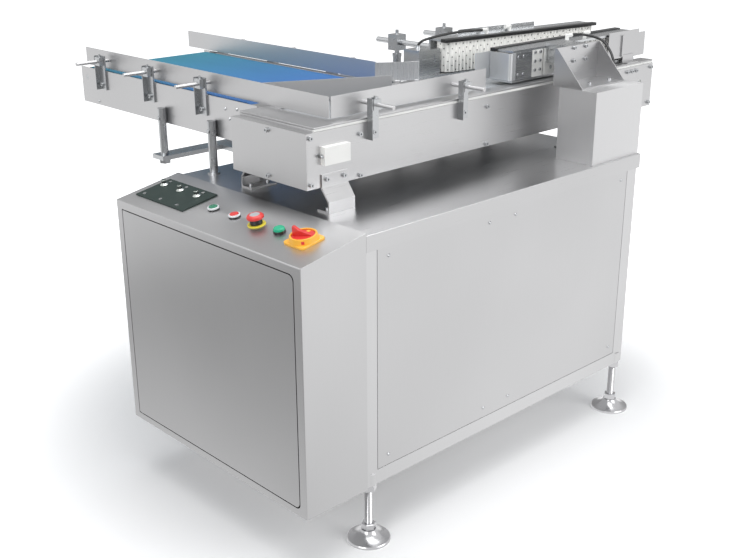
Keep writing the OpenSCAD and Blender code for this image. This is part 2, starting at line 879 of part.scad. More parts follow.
// Controls, each drawn on the slope
module speed_screw_places() {
    for (y = knob_ys, s = [speed_screw_in, speed_plate_w - speed_screw_in])
        on_slope(speed_plate_x + s * cos(slope_a), y) translate([0, 0, speed_plate_t]) children();
}
module speed_plate() color("darkslategray") {
    difference() {
        union() {
            on_slope(speed_plate_x, speed_plate_y) cube([speed_plate_w, speed_plate_l, speed_plate_t]);
            for (y = knob_ys) on_slope(knob_x, y) translate([0, 0, -pot_l])
                cylinder(h = pot_l + speed_plate_t, d = pot_d);
        }
        for (y = knob_ys) on_slope(knob_x, y) translate([0, 0, -pot_l])
            bore(knob_shaft_d + 2 * run_gap, pot_l + speed_plate_t);
    }
    speed_screw_places() cylinder(h = screw_head_h / 2, d = screw_d);
}
module speed_knob(i) color("silver") {
    on_slope(knob_x, knob_ys[i]) translate([0, 0, speed_plate_t + seat_gap]) {
        cylinder(h = knob_skirt_h, d1 = knob_d, d2 = knob_neck_d);
        cylinder(h = knob_h, d = knob_cap_d);
        translate([0, 0, knob_h - knob_skirt_h / 2]) cylinder(h = knob_skirt_h / 2, d = knob_neck_d);
        translate([0, 0, -knob_tail]) cylinder(h = knob_tail + cut, d = knob_shaft_d);
    }
}
module push_body() {
    difference() {
        union() {
            cylinder(h = button_h, d = bezel_d);
            translate([0, 0, -button_tail]) cylinder(h = button_tail + cut, d = neck_d);
            translate([0, 0, -sheet - button_nut_h]) cylinder(h = button_nut_h, d = button_nut_d);
        }
        translate([0, 0, cap_floor]) cylinder(h = button_h, d = cap_d + 2 * run_gap);
    }
}
module button_bodies() color("lightgray") {
    for (y = [start_y, stop_y]) on_slope(control_x, y) push_body();
}
module push_cap(y) {
    on_slope(control_x, y) translate([0, 0, cap_floor + cap_travel + seat_gap])
        cylinder(h = button_h + cap_up - cap_floor - cap_travel - seat_gap, d = cap_d);
}
module start_button_cap() color("green") push_cap(start_y);
module stop_button_cap() color("red") push_cap(stop_y);
module estop_base() color("dimgray") {
    on_slope(control_x, estop_y) difference() {
        union() {
            cylinder(h = estop_ring_t, d = estop_ring_d);
            cylinder(h = estop_ring_t + estop_neck_h, d = estop_neck_d);
            translate([0, 0, -button_tail]) cylinder(h = button_tail + cut, d = neck_d);
            translate([0, 0, -sheet - button_nut_h]) cylinder(h = button_nut_h, d = button_nut_d);
        }
        translate([0, 0, -estop_travel]) cylinder(h = 2 * estop_neck_h, d = estop_stem_d + 2 * run_gap);
    }
}
module estop_head() color("red") {
    neck_top = estop_ring_t + estop_neck_h;
    recess = estop_skirt + estop_travel + seat_gap;
    on_slope(control_x, estop_y) translate([0, 0, neck_top - estop_skirt]) {
        difference() {
            union() {
                cylinder(h = estop_cap_edge, d = estop_d);
                translate([0, 0, estop_cap_edge])
                    cylinder(h = estop_cap_h - estop_cap_edge, d1 = estop_d, d2 = estop_d * estop_top_share);
            }
            translate([0, 0, -cut]) cylinder(h = recess + cut, d = estop_neck_d + 2 * cut);
        }
        translate([0, 0, estop_skirt - estop_neck_h])
            cylinder(h = estop_neck_h + estop_travel + cut, d = estop_stem_d);
    }
}
module power_lamp() color("mediumseagreen") {
    on_slope(control_x, lamp_y) {
        cylinder(h = lamp_base_h, d = bezel_d);
        translate([0, 0, -button_tail]) cylinder(h = button_tail + cut, d = neck_d);
        translate([0, 0, -sheet - button_nut_h]) cylinder(h = button_nut_h, d = button_nut_d);
        translate([0, 0, lamp_base_h]) cylinder(h = lamp_dome_h, d1 = bezel_d - 2 * cut, d2 = cap_d);
    }
}
module switch_plate() color("gold") {
    on_slope(control_x, switch_y) difference() {
        union() {
            translate([-switch_side / 2, -switch_side / 2, 0]) linear_extrude(switch_t)
                rounded(switch_side, switch_side, switch_corner);
            translate([0, 0, switch_t])
                cylinder(h = switch_ring_h, d1 = switch_side - cut, d2 = switch_ring_d);
            translate([0, 0, -button_tail]) cylinder(h = button_tail + cut, d = neck_d);
            translate([0, 0, -sheet - button_nut_h]) cylinder(h = button_nut_h, d = button_nut_d);
        }
        translate([0, 0, switch_t + cut]) cylinder(h = switch_ring_h, d = switch_ring_d - 2 * switch_wall);
        translate([0, 0, -shaft_deep])
            cylinder(h = shaft_deep + 2 * switch_t, d = switch_shaft_d + 2 * run_gap);
    }
}
module switch_handle() color("red") {
    dial_r = switch_ring_d / 2 - switch_wall - seat_gap;
    on_slope(control_x, switch_y) translate([0, 0, switch_t + cut + seat_gap]) {
        cylinder(h = dial_h, r = dial_r);
        rotate([0, 0, grip_turn]) translate([0, grip_w / 2, dial_h - cut]) rotate([90, 0, 0])
            linear_extrude(grip_w) polygon([for (p = grip_shares) [p[0] * dial_r, p[1] * grip_h]]);
        translate([0, 0, -shaft_deep]) cylinder(h = shaft_deep + cut, d = switch_shaft_d);
    }
}

// Main conveyor
module conveyor_frame() color("lightgray") {
    x0 = conv_x0 + conv_t;
    x1 = conv_x1 - conv_t;
    inner_y0 = conv_y0 + conv_t + run_gap;
    inner_y1 = conv_y1 - conv_t - run_gap;
    tie_z0 = conv_z0 + conv_t + run_gap;
    difference() {
        for (side = [0, 1]) translate([0, side * 2 * conv_mid_y, 0]) mirror([0, side, 0]) {
            block([x0, conv_y0, conv_z0], [x1, conv_y0 + conv_t, conv_z1]);
            for (z = [conv_z0, conv_z1 - conv_t])
                block([x0, conv_y0, z], [x1, conv_y0 + conv_flange, z + conv_t]);
        }
        for (x = [idler_x, drive_x]) on_back(x, axis_z, conv_y0) bore(panel_hole_d, conv_w);
        leg_panel_places() bolt_bore();
        panel_bolt_places() bolt_bore();
        cover_bolt_places() bolt_bore();
        outfeed_bolt_places() bolt_bore();
        bracket_bolt_places() bolt_bore();
    }
    // Round spacers and flat ties between the two side panels
    difference() {
        for (x = spacer_xs) {
            on_back(x, spacer_z, inner_y0) cylinder(h = inner_y1 - inner_y0, d = spacer_d);
            block([x - tie_w / 2, inner_y0, tie_z0], [x + tie_w / 2, inner_y1, tie_z0 + tie_t]);
        }
        panel_bolt_places() bolt_bore();
    }
}
module conveyor_end_covers() color("silver") {
    difference() {
        for (right = [0, 1]) translate([right * (conv_x0 + conv_x1), 0, 0]) mirror([right, 0, 0]) {
            block([conv_x0, conv_y0, conv_z0], [conv_x0 + conv_t, conv_y1, conv_z1]);
            block([conv_x0 + conv_t, conv_y0 + conv_flange, conv_z1 - conv_t],
                [conv_x0 + cover_lip, conv_y1 - conv_flange, conv_z1]);
            for (y = [conv_y0 + conv_t, conv_y1 - 2 * conv_t]) block([conv_x0 + conv_t, y, conv_z0 + conv_t],
                [conv_x0 + cover_lip, y + conv_t, conv_z1 - conv_t]);
        }
        cover_bolt_places() bolt_bore();
    }
}
module leg_profile() {
    y = conv_y0;
    polygon([
        [y - leg_out, deck_z], [y - leg_out, leg_bend_z], [y - leg_t, leg_bend_z + leg_out + leg_t],
        [y - leg_t, leg_top_z], [y, leg_top_z], [y, leg_bend_z + leg_out],
        [y - leg_out + leg_t, leg_bend_z - leg_t / 2],
        [y - leg_out + leg_t, deck_z + leg_t], [y - leg_out + leg_foot, deck_z + leg_t],
        [y - leg_out + leg_foot, deck_z]
    ]);
}
module conveyor_legs() color("silver") {
    difference() {
        for (x = leg_xs, side = [0, 1]) translate([x, side * 2 * conv_mid_y, 0]) mirror([0, side, 0])
            rotate([90, 0, 90]) linear_extrude(leg_w) leg_profile();
        leg_deck_places() bolt_bore();
        leg_panel_places() bolt_bore();
    }
}
module top_plates() color("silver") {
    z0 = top_z - plate_t;
    over = chain_w / 2 - cover_over;
    block([end_plate_x, conv_y0 + cover_over, z0], [chain_start, conv_y1 - cover_over, top_z]);
    block([chain_start, conv_y0 + cover_over, z0], [conv_x1, conv_mid_y - over, top_z]);
    block([chain_start, conv_mid_y + over, z0], [conv_x1, conv_y1 - cover_over, top_z]);
    block([feed_x0 + 2 * feed_t, conv_y1 - cover_over - cut, z0], [feed_x1 - 2 * feed_t, transfer_y1, top_z]);
}
module wear_strips() color("white") {
    for (side = [0, 1]) translate([0, side * 2 * conv_mid_y, 0]) mirror([0, side, 0]) {
        block([end_plate_x, conv_y0 + conv_t, conv_z1],
            [conv_x1 + cover_over, conv_y0 + conv_t + strip_w, conv_z1 + strip_h]);
        block([idler_x + chain_outer_r, conv_mid_y - rail_out, spacer_z + spacer_d / 2],
            [drive_x - chain_outer_r, conv_mid_y - rail_out + rail_w, chain_top - chain_t - seat_gap]);
    }
}
module chain_loop(r) {
    for (x = [idler_x, drive_x]) translate([x, axis_z]) circle(r);
    translate([idler_x, axis_z - r]) square([drive_x - idler_x, 2 * r]);
}
module chain() color("gray") {
    slots = floor((drive_x - idler_x) / hinge_pitch);
    difference() {
        translate([0, conv_mid_y + chain_w / 2, 0]) rotate([90, 0, 0]) linear_extrude(chain_w) difference() {
            chain_loop(chain_outer_r);
            chain_loop(chain_outer_r - chain_t);
        }
        for (i = [0:slots]) translate([idler_x + i * hinge_pitch, conv_mid_y, chain_top - hinge_deep])
            translate([0, -chain_w, 0]) cube([hinge_slot, 2 * chain_w, chain_t]);
    }
}
module sprocket_shaft(x, y0, y1) {
    on_back(x, axis_z, y0) cylinder(h = y1 - y0, d = shaft_d);
    for (s = [-1, 1]) on_back(x, axis_z, conv_mid_y + s * chain_w / 4 - sprocket_w / 2)
        cylinder(h = sprocket_w, r = chain_outer_r - chain_t - seat_gap);
}
module chain_idler_shaft() color("silver")
    sprocket_shaft(idler_x, conv_y0 - takeup_t + shaft_floor + cut, conv_y1 - conv_t - cut);
module chain_drive_shaft() color("silver")
    sprocket_shaft(drive_x, conv_y0 + conv_t + cut, conv_y1 + gearbox_w - shaft_floor);
module chain_bearings() color("white") {
    difference() {
        union() {
            block([idler_x - takeup_l / 2, conv_y0 - takeup_t, axis_z - takeup_h / 2],
                [idler_x + takeup_l / 2, conv_y0, axis_z + takeup_h / 2]);
            block([idler_x - hub_w / 2, conv_y1 - conv_t - hub_t, axis_z - hub_w / 2],
                [idler_x + hub_w / 2, conv_y1 - conv_t, axis_z + hub_w / 2]);
            for (y = [conv_y0 + conv_t, conv_y1 - conv_t - hub_t])
                block([drive_x - hub_w / 2, y, axis_z - hub_w / 2],
                    [drive_x + hub_w / 2, y + hub_t, axis_z + hub_w / 2]);
        }
        on_back(idler_x, axis_z, conv_y0 - takeup_t + shaft_floor + cut)
            bore(shaft_d + 2 * run_gap, conv_w + takeup_t);
        on_back(drive_x, axis_z, conv_y0 + conv_t) bore(shaft_d + 2 * run_gap, conv_w);
    }
}
module gearmotors() color("dimgray") {
    difference() {
        block([drive_x - gearbox_l / 2, conv_y1, axis_z - gearbox_l / 2],
            [drive_x + gearbox_l / 2, conv_y1 + gearbox_w, axis_z + gearbox_l / 2]);
        on_back(drive_x, axis_z, conv_y1) bore(shaft_d + 2 * run_gap, gearbox_w - shaft_floor);
    }
    on_left(drive_x - gearbox_l / 2, conv_y1 + gearbox_w / 2, axis_z) cylinder(h = motor_l, d = motor_d);
    difference() {
        block([feed_x1, feed_drive_y - feed_box / 2, roller_z - feed_box / 2],
            [feed_x1 + feed_box_w, feed_drive_y + feed_box / 2, roller_z + feed_box / 2]);
        on_right(feed_x1, feed_drive_y, roller_z)
            bore(roller_shaft_d + 2 * run_gap, feed_box_w - shaft_floor);
    }
    on_back(feed_x1 + feed_box_w / 2, roller_z, feed_drive_y + feed_box / 2)
        cylinder(h = feed_motor_l, d = feed_motor_d);
}

// Infeed conveyor
module infeed_frame() color("lightgray") {
    bed_top = belt_top - belt_t - seat_gap;
    difference() {
        union() {
            for (x = [feed_x0, feed_x1 - feed_t])
                block([x, feed_y0, feed_z0], [x + feed_t, feed_y1, feed_z1]);
            block([feed_x0 + cut, feed_drive_y + roller_d / 2 + bed_gap, bed_top - bed_t],
                [feed_x1 - cut, feed_tail_y - roller_d / 2 - bed_gap, bed_top]);
            for (y = feed_tie_ys) on_right(feed_x0 + cut, y, feed_z0 + feed_tie_up)
                cylinder(h = feed_w - 2 * cut, d = feed_tie_d);
            // Angles that hold the infeed to the main conveyor's rear panel
            for (x = [feed_x0, feed_x1 - feed_t - angle_leg]) block([x, conv_y1, feed_z0 + cut],
                [x + feed_t + angle_leg, conv_y1 + angle_t, feed_z0 + angle_h]);
        }
        for (y = [feed_drive_y, feed_tail_y]) on_right(feed_x0, y, roller_z)
            bore(roller_shaft_d + 2 * run_gap, feed_w);
        feed_bolt_places() screw_bore();
        bracket_bolt_places() bolt_bore();
        post_bolt_places() post_bolt_bore();
    }
}
module belt_outline(r) {
    for (y = [feed_drive_y, feed_tail_y]) translate([y, roller_z]) circle(r);
    translate([feed_drive_y, roller_z - r]) square([feed_tail_y - feed_drive_y, 2 * r]);
}
module infeed_belt() color("steelblue") {
    translate([belt_x0, 0, 0]) rotate([90, 0, 90]) linear_extrude(belt_w) difference() {
        belt_outline(roller_d / 2 + belt_t);
        belt_outline(roller_d / 2);
    }
}
module roller(y, x1) {
    on_right(belt_x0, y, roller_z) cylinder(h = belt_w, r = roller_d / 2 - seat_gap);
    on_right(feed_x0 + run_gap, y, roller_z) cylinder(h = x1 - feed_x0 - run_gap, d = roller_shaft_d);
}
module infeed_drive_roller() color("silver") roller(feed_drive_y, feed_x1 + feed_box_w - shaft_floor);
module infeed_tail_roller() color("silver") roller(feed_tail_y, feed_x1 - run_gap);
module infeed_posts() color("silver") {
    difference() {
        union() {
            for (p = [[post_x, post_ys[0], deck_z, post_top], [far_post_x, post_ys[0], deck_z, far_post_top]])
                translate([p[0], p[1], p[2]]) {
                    cylinder(h = p[3] - p[2], d = post_d);
                    cylinder(h = post_foot_h, d = post_foot_d);
                }
            translate([post_x, post_ys[1], deck_z + arm_t])
                cylinder(h = post_top - deck_z - arm_t, d = post_d);
            translate([post_x, post_ys[1], deck_z - post_nut_h])
                cylinder(h = arm_t + post_nut_h + cut, d = post_d / 2);
        }
        post_bolt_places() post_bolt_bore();
    }
    translate([post_x, post_ys[1], deck_z - post_nut_h]) difference() {
        cylinder(h = post_nut_h, d = post_foot_d, $fn = 6);
        bore(post_d / 2 + 2 * run_gap, post_nut_h);
    }
    difference() {
        union() {
            block([arm_x0, arm_y1 - arm_w, deck_z], [arm_x1, arm_y1, deck_z + arm_t]);
            block([arm_x1 - arm_w, arm_start_y, deck_z], [arm_x1, arm_y1, deck_z + arm_t]);
        }
        translate([post_x, post_ys[1], deck_z]) bore(post_d / 2 + 2 * run_gap, arm_t);
        arm_bolt_places() bolt_bore();
    }
}

// Guides
module bracket() {
    difference() {
        union() {
            block([-bracket_w / 2, -bracket_t, bracket_z0], [bracket_w / 2, 0, bracket_z0 + bracket_h]);
            block([-bracket_w / 2, -bracket_block, bracket_z0],
                [guide_t - bracket_w / 2, 0, bracket_z0 + bracket_h]);
            block([-bracket_block_w / 2, -bracket_block, rod_z - bracket_block_w / 2],
                [bracket_block_w / 2, 0, rod_z + bracket_block_w / 2]);
        }
        on_front(0, rod_z, 0) translate([0, 0, -bracket_t])
            bore(guide_rod_d + 2 * run_gap, bracket_block + bracket_t);
        translate([0, -bracket_block / 2, rod_z])
            cylinder(h = bracket_block_w, d = bolt_shank_d + 2 * run_gap);
    }
    translate([0, -bracket_block / 2, rod_z + guide_rod_d / 2 + run_gap])
        cylinder(h = set_screw_h, d = bolt_shank_d);
}
module guide_brackets() color("silver") {
    difference() {
        bracket_places() bracket();
        bracket_bolt_places() bolt_bore();
    }
}
module near_guide() color("gainsboro") {
    block([near_x - guide_t, near_y0, guide_z0], [near_x, near_y1, guide_z0 + guide_h]);
    upright([near_x - guide_t / 2, deflector_y0], deflector_end, guide_t, guide_z0, guide_z0 + guide_h);
    for (y = near_rod_ys) on_right(near_x - guide_t - guide_rod_l, y, rod_z)
        cylinder(h = guide_rod_l, d = guide_rod_d);
}
module front_guide() color("gainsboro") {
    block([front_x0, front_y - guide_t, guide_z0], [front_x1, front_y, guide_z0 + guide_h]);
    for (x = front_rod_xs) on_back(x, rod_z, front_y - guide_t - guide_rod_l)
        cylinder(h = guide_rod_l, d = guide_rod_d);
}
module far_guide() color("gainsboro") {
    block([far_x, far_y0, guide_z0], [far_x + guide_t, far_y1, guide_z0 + guide_h]);
    for (y = far_rod_ys) on_right(far_x + guide_t, y, rod_z)
        cylinder(h = guide_rod_l, d = guide_rod_d);
}
// A band of the given thickness along a line of plan points
function unit(v) = v / norm(v);
function beside(p, i, off) = let (
    d = unit(p[min(i + 1, len(p) - 1)] - p[max(i - 1, 0)])) p[i] + off * [-d[1], d[0]];
module band(p, t) {
    last = len(p) - 1;
    polygon(concat(
        [for (i = [0:last]) beside(p, i, t / 2)], [for (i = [0:last]) beside(p, last - i, -t / 2)]));
}
module turning_guide() color("gainsboro") {
    translate([0, 0, guide_z0]) linear_extrude(guide_h) band(turn, guide_t);
    // Tabs that stand on the corner plate
    for (i = [0, 1]) translate([0, 0, top_z]) linear_extrude(guide_z0 - top_z + cut)
        band([for (share = tab_shares) turn[i] + (turn[i + 1] - turn[i]) * share], tab_t);
}

// Gripper units, drawn in their own frame
module in_rear() {
    translate([rear_x, rear_y, 0]) rotate([0, 0, -rear_angle]) children();
}
module in_front() {
    translate([front_x, front_face_y, 0]) mirror([0, 1, 0]) children();
}
module grip_ends(l) {
    for (u = [grip_nose_r, l - grip_nose_r]) translate([u, grip_nose_r, 0]) children();
}
module grip_loop(l, r, z0, h) {
    translate([0, 0, z0]) linear_extrude(h) {
        for (u = [grip_nose_r, l - grip_nose_r]) translate([u, grip_nose_r]) circle(r);
        translate([grip_nose_r, grip_nose_r - r]) square([l - 2 * grip_nose_r, 2 * r]);
    }
}
module grip_belt(l, h) {
    difference() {
        grip_loop(l, grip_nose_r, belt_z0, h);
        grip_loop(l, grip_nose_r - grip_belt_t, belt_z0 - cut, h + 2 * cut);
    }
}
module grip_frame(l, h, u0, v1) {
    cover_z = belt_z0 + h + grip_top_gap;
    difference() {
        union() {
            block([u0, grip_lift, grip_z0], [l, v1, grip_z0 + grip_base_t]);
            block([grip_core_end, grip_belt_t + cut, grip_z0 + grip_base_t - cut],
                [l - grip_core_end, loop_w - grip_belt_t - cut, cover_z]);
            block([0, bar_w - grip_lift, cover_z], [l, v1, cover_z + cover_t]);
        }
        translate([0, 0, grip_z0]) grip_ends(l) bore(axle_d + 2 * run_gap, h + 4 * cover_t);
    }
}
module grip_pulley(l, h, far) {
    translate([far ? l - grip_nose_r : grip_nose_r, grip_nose_r, 0]) {
        translate([0, 0, belt_z0]) cylinder(h = h, r = grip_nose_r - grip_belt_t - seat_gap);
        translate([0, 0, grip_z0]) cylinder(h = belt_z0 + h + grip_top_gap + cover_t - grip_z0, d = axle_d);
    }
}
module grip_bar(l, h) {
    translate([-bar_over, -grip_lift, belt_z0 + h + grip_top_gap]) cube([l + bar_over, bar_w, bar_t]);
}
module elbow(dir) {
    cylinder(h = elbow_h, d = elbow_d);
    translate([0, 0, elbow_up]) rotate([0, dir * 90, 0]) cylinder(h = elbow_l, d = elbow_d);
    translate([0, 0, elbow_up]) sphere(d = elbow_d);
}
module rear_grip_frame() color("silver") {
    cover_z = belt_z0 + rear_belt_h + grip_top_gap;
    difference() {
        union() {
            in_rear() {
                grip_frame(rear_l, rear_belt_h, -housing_l, base_w);
                block([-bar_over, loop_w + grip_lift, grip_z0 + cut],
                    [back_l, base_w - back_edge, cover_z + cover_t]);
                block([fin_u0, fin_v, cover_z + cover_t - cut],
                    [fin_u1, fin_v + fin_t, cover_z + cover_t + fin_h]);
            }
        }
        for (x = support_xs) on_back(x, support_z, rear_y) bore(support_rod_d + 2 * run_gap, rear_l / 2);
    }
    for (i = [0, 1]) on_back(support_xs[i], support_z, support_rod_y0[i])
        cylinder(h = deck_d + rod_out - support_rod_y0[i], d = support_rod_d);
    // Housing of the drive at the unit's infeed end, with the hose's gland on top
    hose_end = rear_route[len(rear_route) - 1];
    difference() {
        block([housing_x0, housing_y0, grip_z0 + grip_base_t], [housing_x1, housing_y1, housing_top]);
        block([housing_x0 + housing_edge, housing_y0 - cut, housing_slot_z],
            [housing_x1 - 2 * housing_edge, housing_y0 + recess, housing_slot_z + recess_h]);
        block([housing_x1 - 3 * housing_edge, housing_y0 - cut, housing_slot_z - 2 * recess_h],
            [housing_x1 - 2 * housing_edge, housing_y0 + recess, housing_slot_z + recess_h]);
    }
    translate([hose_end[0], hose_end[1], housing_top]) cylinder(h = gland_h, d = gland_d);
}
module rear_grip_belt() color("white") in_rear() grip_belt(rear_l, rear_belt_h);
module rear_idler_pulley() color("silver") in_rear() grip_pulley(rear_l, rear_belt_h, false);
module rear_drive_pulley() color("silver") in_rear() grip_pulley(rear_l, rear_belt_h, true);
module rear_top_bar() color("black") in_rear() grip_bar(rear_l, rear_belt_h);
module rear_fittings() color("white") {
    cover_top = belt_z0 + rear_belt_h + grip_top_gap + cover_t;
    for (x = rear_fitting_xs) translate([x, rear_fitting_y, cover_top]) elbow(-1);
}
module rear_supports() color("silver") {
    for (x = support_xs) translate([x, clamp_y, 0]) {
        translate([0, 0, deck_z]) cylinder(h = rear_post_foot_h, d = rear_post_foot_d);
        translate([0, 0, deck_z]) cylinder(h = collar_z - deck_z, d = rear_post_d);
        translate([0, 0, collar_z]) cylinder(h = rear_post_foot_h, d = collar_d);
        translate([0, 0, collar_z]) cylinder(h = support_z - clamp_h / 2 - collar_z + stud_deep, d = stud_d);
        difference() {
            translate([-clamp_w / 2, -clamp_w / 2, support_z - clamp_h / 2])
                cube([clamp_w, clamp_w, clamp_h]);
            on_back(0, support_z, -clamp_w / 2) bore(support_rod_d + 2 * run_gap, clamp_w);
            translate([0, 0, support_z - clamp_h / 2 - cut])
                cylinder(h = stud_deep + cut, d = stud_d + 2 * run_gap);
        }
        translate([0, 0, support_z + clamp_h / 2 + run_gap]) cylinder(h = clamp_screw_h, d = clamp_screw_d);
    }
}
module front_grip_frame() color("silver") {
    in_front() grip_frame(front_l, front_belt_h, 0, base_w);
    block([side_x0, block_y0, grip_z0 + grip_base_t], [block_xs[0][0], block_y0 + side_t, front_cover_z]);
    block([block_xs[1][1], block_y0, grip_z0 + grip_base_t],
        [block_xs[1][1] + mount_w, block_y1, front_cover_z]);
    for (x = side_screw_xs, z = side_screw_zs) on_front(x, z, block_y0)
        cylinder(h = screw_head_h / 2, d = screw_d);
    difference() {
        block([spacer_x0, gusset_y1, wall_bolt_zs[0] - bolt_d],
            [spacer_x1, block_y0, wall_bolt_zs[1] + bolt_d / 2]);
        gusset_wall_places() bolt_bore();
    }
}
module front_grip_belt() color("white") in_front() grip_belt(front_l, front_belt_h);
module front_idler_pulley() color("silver") in_front() grip_pulley(front_l, front_belt_h, false);
module front_drive_pulley() color("silver") in_front() grip_pulley(front_l, front_belt_h, true);
module front_top_bar() color("black") in_front() grip_bar(front_l, front_belt_h);
module front_guard() color("silver") {
    h = front_cover_z - grip_z0 - grip_base_t;
    translate([0, 0, grip_z0 + grip_base_t]) linear_extrude(h) {
        difference() {
            translate([guard_x0, guard_y0]) rounded(2 * guard_l, guard_y1 - guard_y0, guard_r);
            translate([guard_x0 + guide_t, guard_y0 + guide_t])
                rounded(2 * guard_l, guard_y1 - guard_y0 - 2 * guide_t, guard_r - guide_t);
            translate([guard_x0 + guard_l, guard_y0 - cut])
                square([2 * guard_l, guard_y1 - guard_y0 + 2 * cut]);
        }
        translate([lead_x0, guard_y1 - guide_t]) square([guard_x0 - lead_x0 + guard_r, guide_t]);
    }
}
module front_blocks() color("white") {
    for (b = block_xs) block([b[0], block_y0, grip_z0 + grip_base_t], [b[1], block_y1, front_cover_z]);
    for (x = front_fitting_xs) translate([x, front_fitting_y, front_cover_z + cover_t]) elbow(1);
}

// Stand and bracket of the front unit
module stand() color("lightgray") {
    difference() {
        block([stand_x0, stand_y0, deck_z], [stand_x1, stand_y1, stand_z1]);
        block([stand_x0 + sheet, stand_y0 + sheet, deck_z - cut],
            [stand_x1 - sheet, stand_y1 - sheet, stand_z1 - sheet]);
        gusset_base_places() bolt_bore();
    }
    translate([grommet_x, grommet_y, stand_z1]) cylinder(h = gland_h, d = gland_d);
}
module gusset_bracket() color("silver") {
    difference() {
        union() {
            block([stand_x0, gusset_y0, stand_z1], [gusset_x1, gusset_y1, stand_z1 + heavy_t]);
            block([stand_x0, gusset_y1 - heavy_t, stand_z1], [gusset_x1, gusset_y1, stand_z1 + gusset_h]);
            for (x = [stand_x0, gusset_x1 - gusset_t]) translate([x, 0, 0]) rotate([90, 0, 90])
                linear_extrude(gusset_t) polygon([
                    [gusset_y0, stand_z1], [gusset_y1, stand_z1], [gusset_y1, stand_z1 + gusset_h],
                    [gusset_y1 - 2 * heavy_t, stand_z1 + gusset_h], [gusset_y0, stand_z1 + heavy_t]
                ]);
        }
        gusset_base_places() bolt_bore();
        gusset_wall_places() bolt_bore();
    }
}
module outfeed_guide() color("gray") {
    y = outfeed_y;
    block([out_x0, y, out_z0], [out_x1, y + guide_t, out_z0 + out_h]);
    block([out_x2, y + guide_t, out_z0 - guide_t], [out_x3, y + 2 * guide_t, out_z0 + out_h2]);
    block([out_strip_x, y - heavy_t, out_z0 + heavy_t], [out_strip_x + out_strip_w, y, out_z0 + out_h2]);
    block([out_foot_x0, conv_y0 + conv_t, top_z], [out_foot_x1, y, top_z + conv_t]);
    block([out_foot_x0, y - conv_t, top_z], [out_foot_x1, y, out_z0 + out_strip_w]);
}

// Hoses: a round tube swept along a smooth curve through the route's points
function spline(p, i, t) = let (
    a = p[max(i - 1, 0)], b = p[i], c = p[i + 1], d = p[min(i + 2, len(p) - 1)])
    (2 * b + (c - a) * t + (2 * a - 5 * b + 4 * c - d) * t * t + (3 * b - a - 3 * c + d) * t * t * t) / 2;
function curve(p, steps) = concat(
    [for (i = [0:len(p) - 2], s = [0:steps - 1]) spline(p, i, s / steps)], [p[len(p) - 1]]);
function tangent(c, i) = unit(c[min(i + 1, len(c) - 1)] - c[max(i - 1, 0)]);
function ring(c, i, side, first, last) = let (
    t = i == 0 ? first : i == len(c) - 1 ? last : tangent(c, i),
    a = unit(cross(t, side)), b = cross(t, a))
    [for (k = [0:hose_sides - 1]) let (turned = k * 360 / hose_sides)
        c[i] + hose_d / 2 * (cos(turned) * a + sin(turned) * b)];
module hose(route, side, first, last) {
    c = curve(route, hose_steps);
    n = len(c);
    points = [for (i = [0:n - 1]) each ring(c, i, side, first, last)];
    walls = [for (i = [0:n - 2], k = [0:hose_sides - 1]) let (
        a = i * hose_sides + k, b = i * hose_sides + (k + 1) % hose_sides)
        each [[a, b, b + hose_sides], [a, b + hose_sides, a + hose_sides]]];
    ends = [[for (k = [0:hose_sides - 1]) hose_sides - 1 - k],
        [for (k = [0:hose_sides - 1]) (n - 1) * hose_sides + k]];
    polyhedron(points, concat(walls, ends));
}
module rear_hose() color("black") hose(rear_route, [0, 1, 0.3], [-1, 0, 0], [0, 0, -1]);
module front_hose() color("black") hose(front_route, [0.2, 1, 0.2], [1, 0, 0], [0, 0, -1]);

// One line a node
from_foot() cabinet_shell();
from_foot() deck_plate();
from_foot() access_panels();
from_foot() machine_screws();
from_foot() levelling_feet();
from_foot() console_box();
from_foot() console_door();
from_foot() door_pivots();
from_foot() console_gear();
from_foot() speed_plate();
from_foot() speed_knob(0);  // speed_knob_1
from_foot() speed_knob(1);  // speed_knob_2
from_foot() speed_knob(2);  // speed_knob_3
from_foot() button_bodies();
from_foot() start_button_cap();
from_foot() stop_button_cap();
from_foot() estop_base();
from_foot() estop_head();
from_foot() power_lamp();
from_foot() switch_plate();
from_foot() switch_handle();
from_foot() conveyor_frame();
from_foot() conveyor_end_covers();
from_foot() conveyor_legs();
from_foot() top_plates();
from_foot() wear_strips();
from_foot() chain();
from_foot() chain_drive_shaft();
from_foot() chain_idler_shaft();
from_foot() chain_bearings();
from_foot() gearmotors();
from_foot() infeed_frame();
from_foot() infeed_belt();
from_foot() infeed_drive_roller();
from_foot() infeed_tail_roller();
from_foot() infeed_posts();
from_foot() guide_brackets();
from_foot() near_guide();
from_foot() front_guide();
from_foot() far_guide();
from_foot() turning_guide();
from_foot() rear_grip_frame();
from_foot() rear_grip_belt();
from_foot() rear_drive_pulley();
from_foot() rear_idler_pulley();
from_foot() rear_top_bar();
from_foot() rear_fittings();
from_foot() rear_supports();
from_foot() rear_hose();
from_foot() front_grip_frame();
from_foot() front_grip_belt();
from_foot() front_drive_pulley();
from_foot() front_idler_pulley();
from_foot() front_top_bar();
from_foot() front_guard();
from_foot() front_blocks();
from_foot() front_hose();
from_foot() stand();
from_foot() gusset_bracket();
from_foot() outfeed_guide();
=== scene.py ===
"""Bottle unscrambler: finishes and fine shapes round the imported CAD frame.

The script follows the machine as it is put together: the studio, the two air hoses, the cabinet
on its feet, the console with its controls, the deck with the panels and the stand, the main
conveyor, the infeed, the guides, and the two gripper belts. Unless a comment says otherwise, lengths
are in millimetres, measured from the cabinet's front left corner on the floor, and become metres in
the frame's own axes.
"""
import math
import bmesh
import bpy
from mathutils import Matrix, Vector


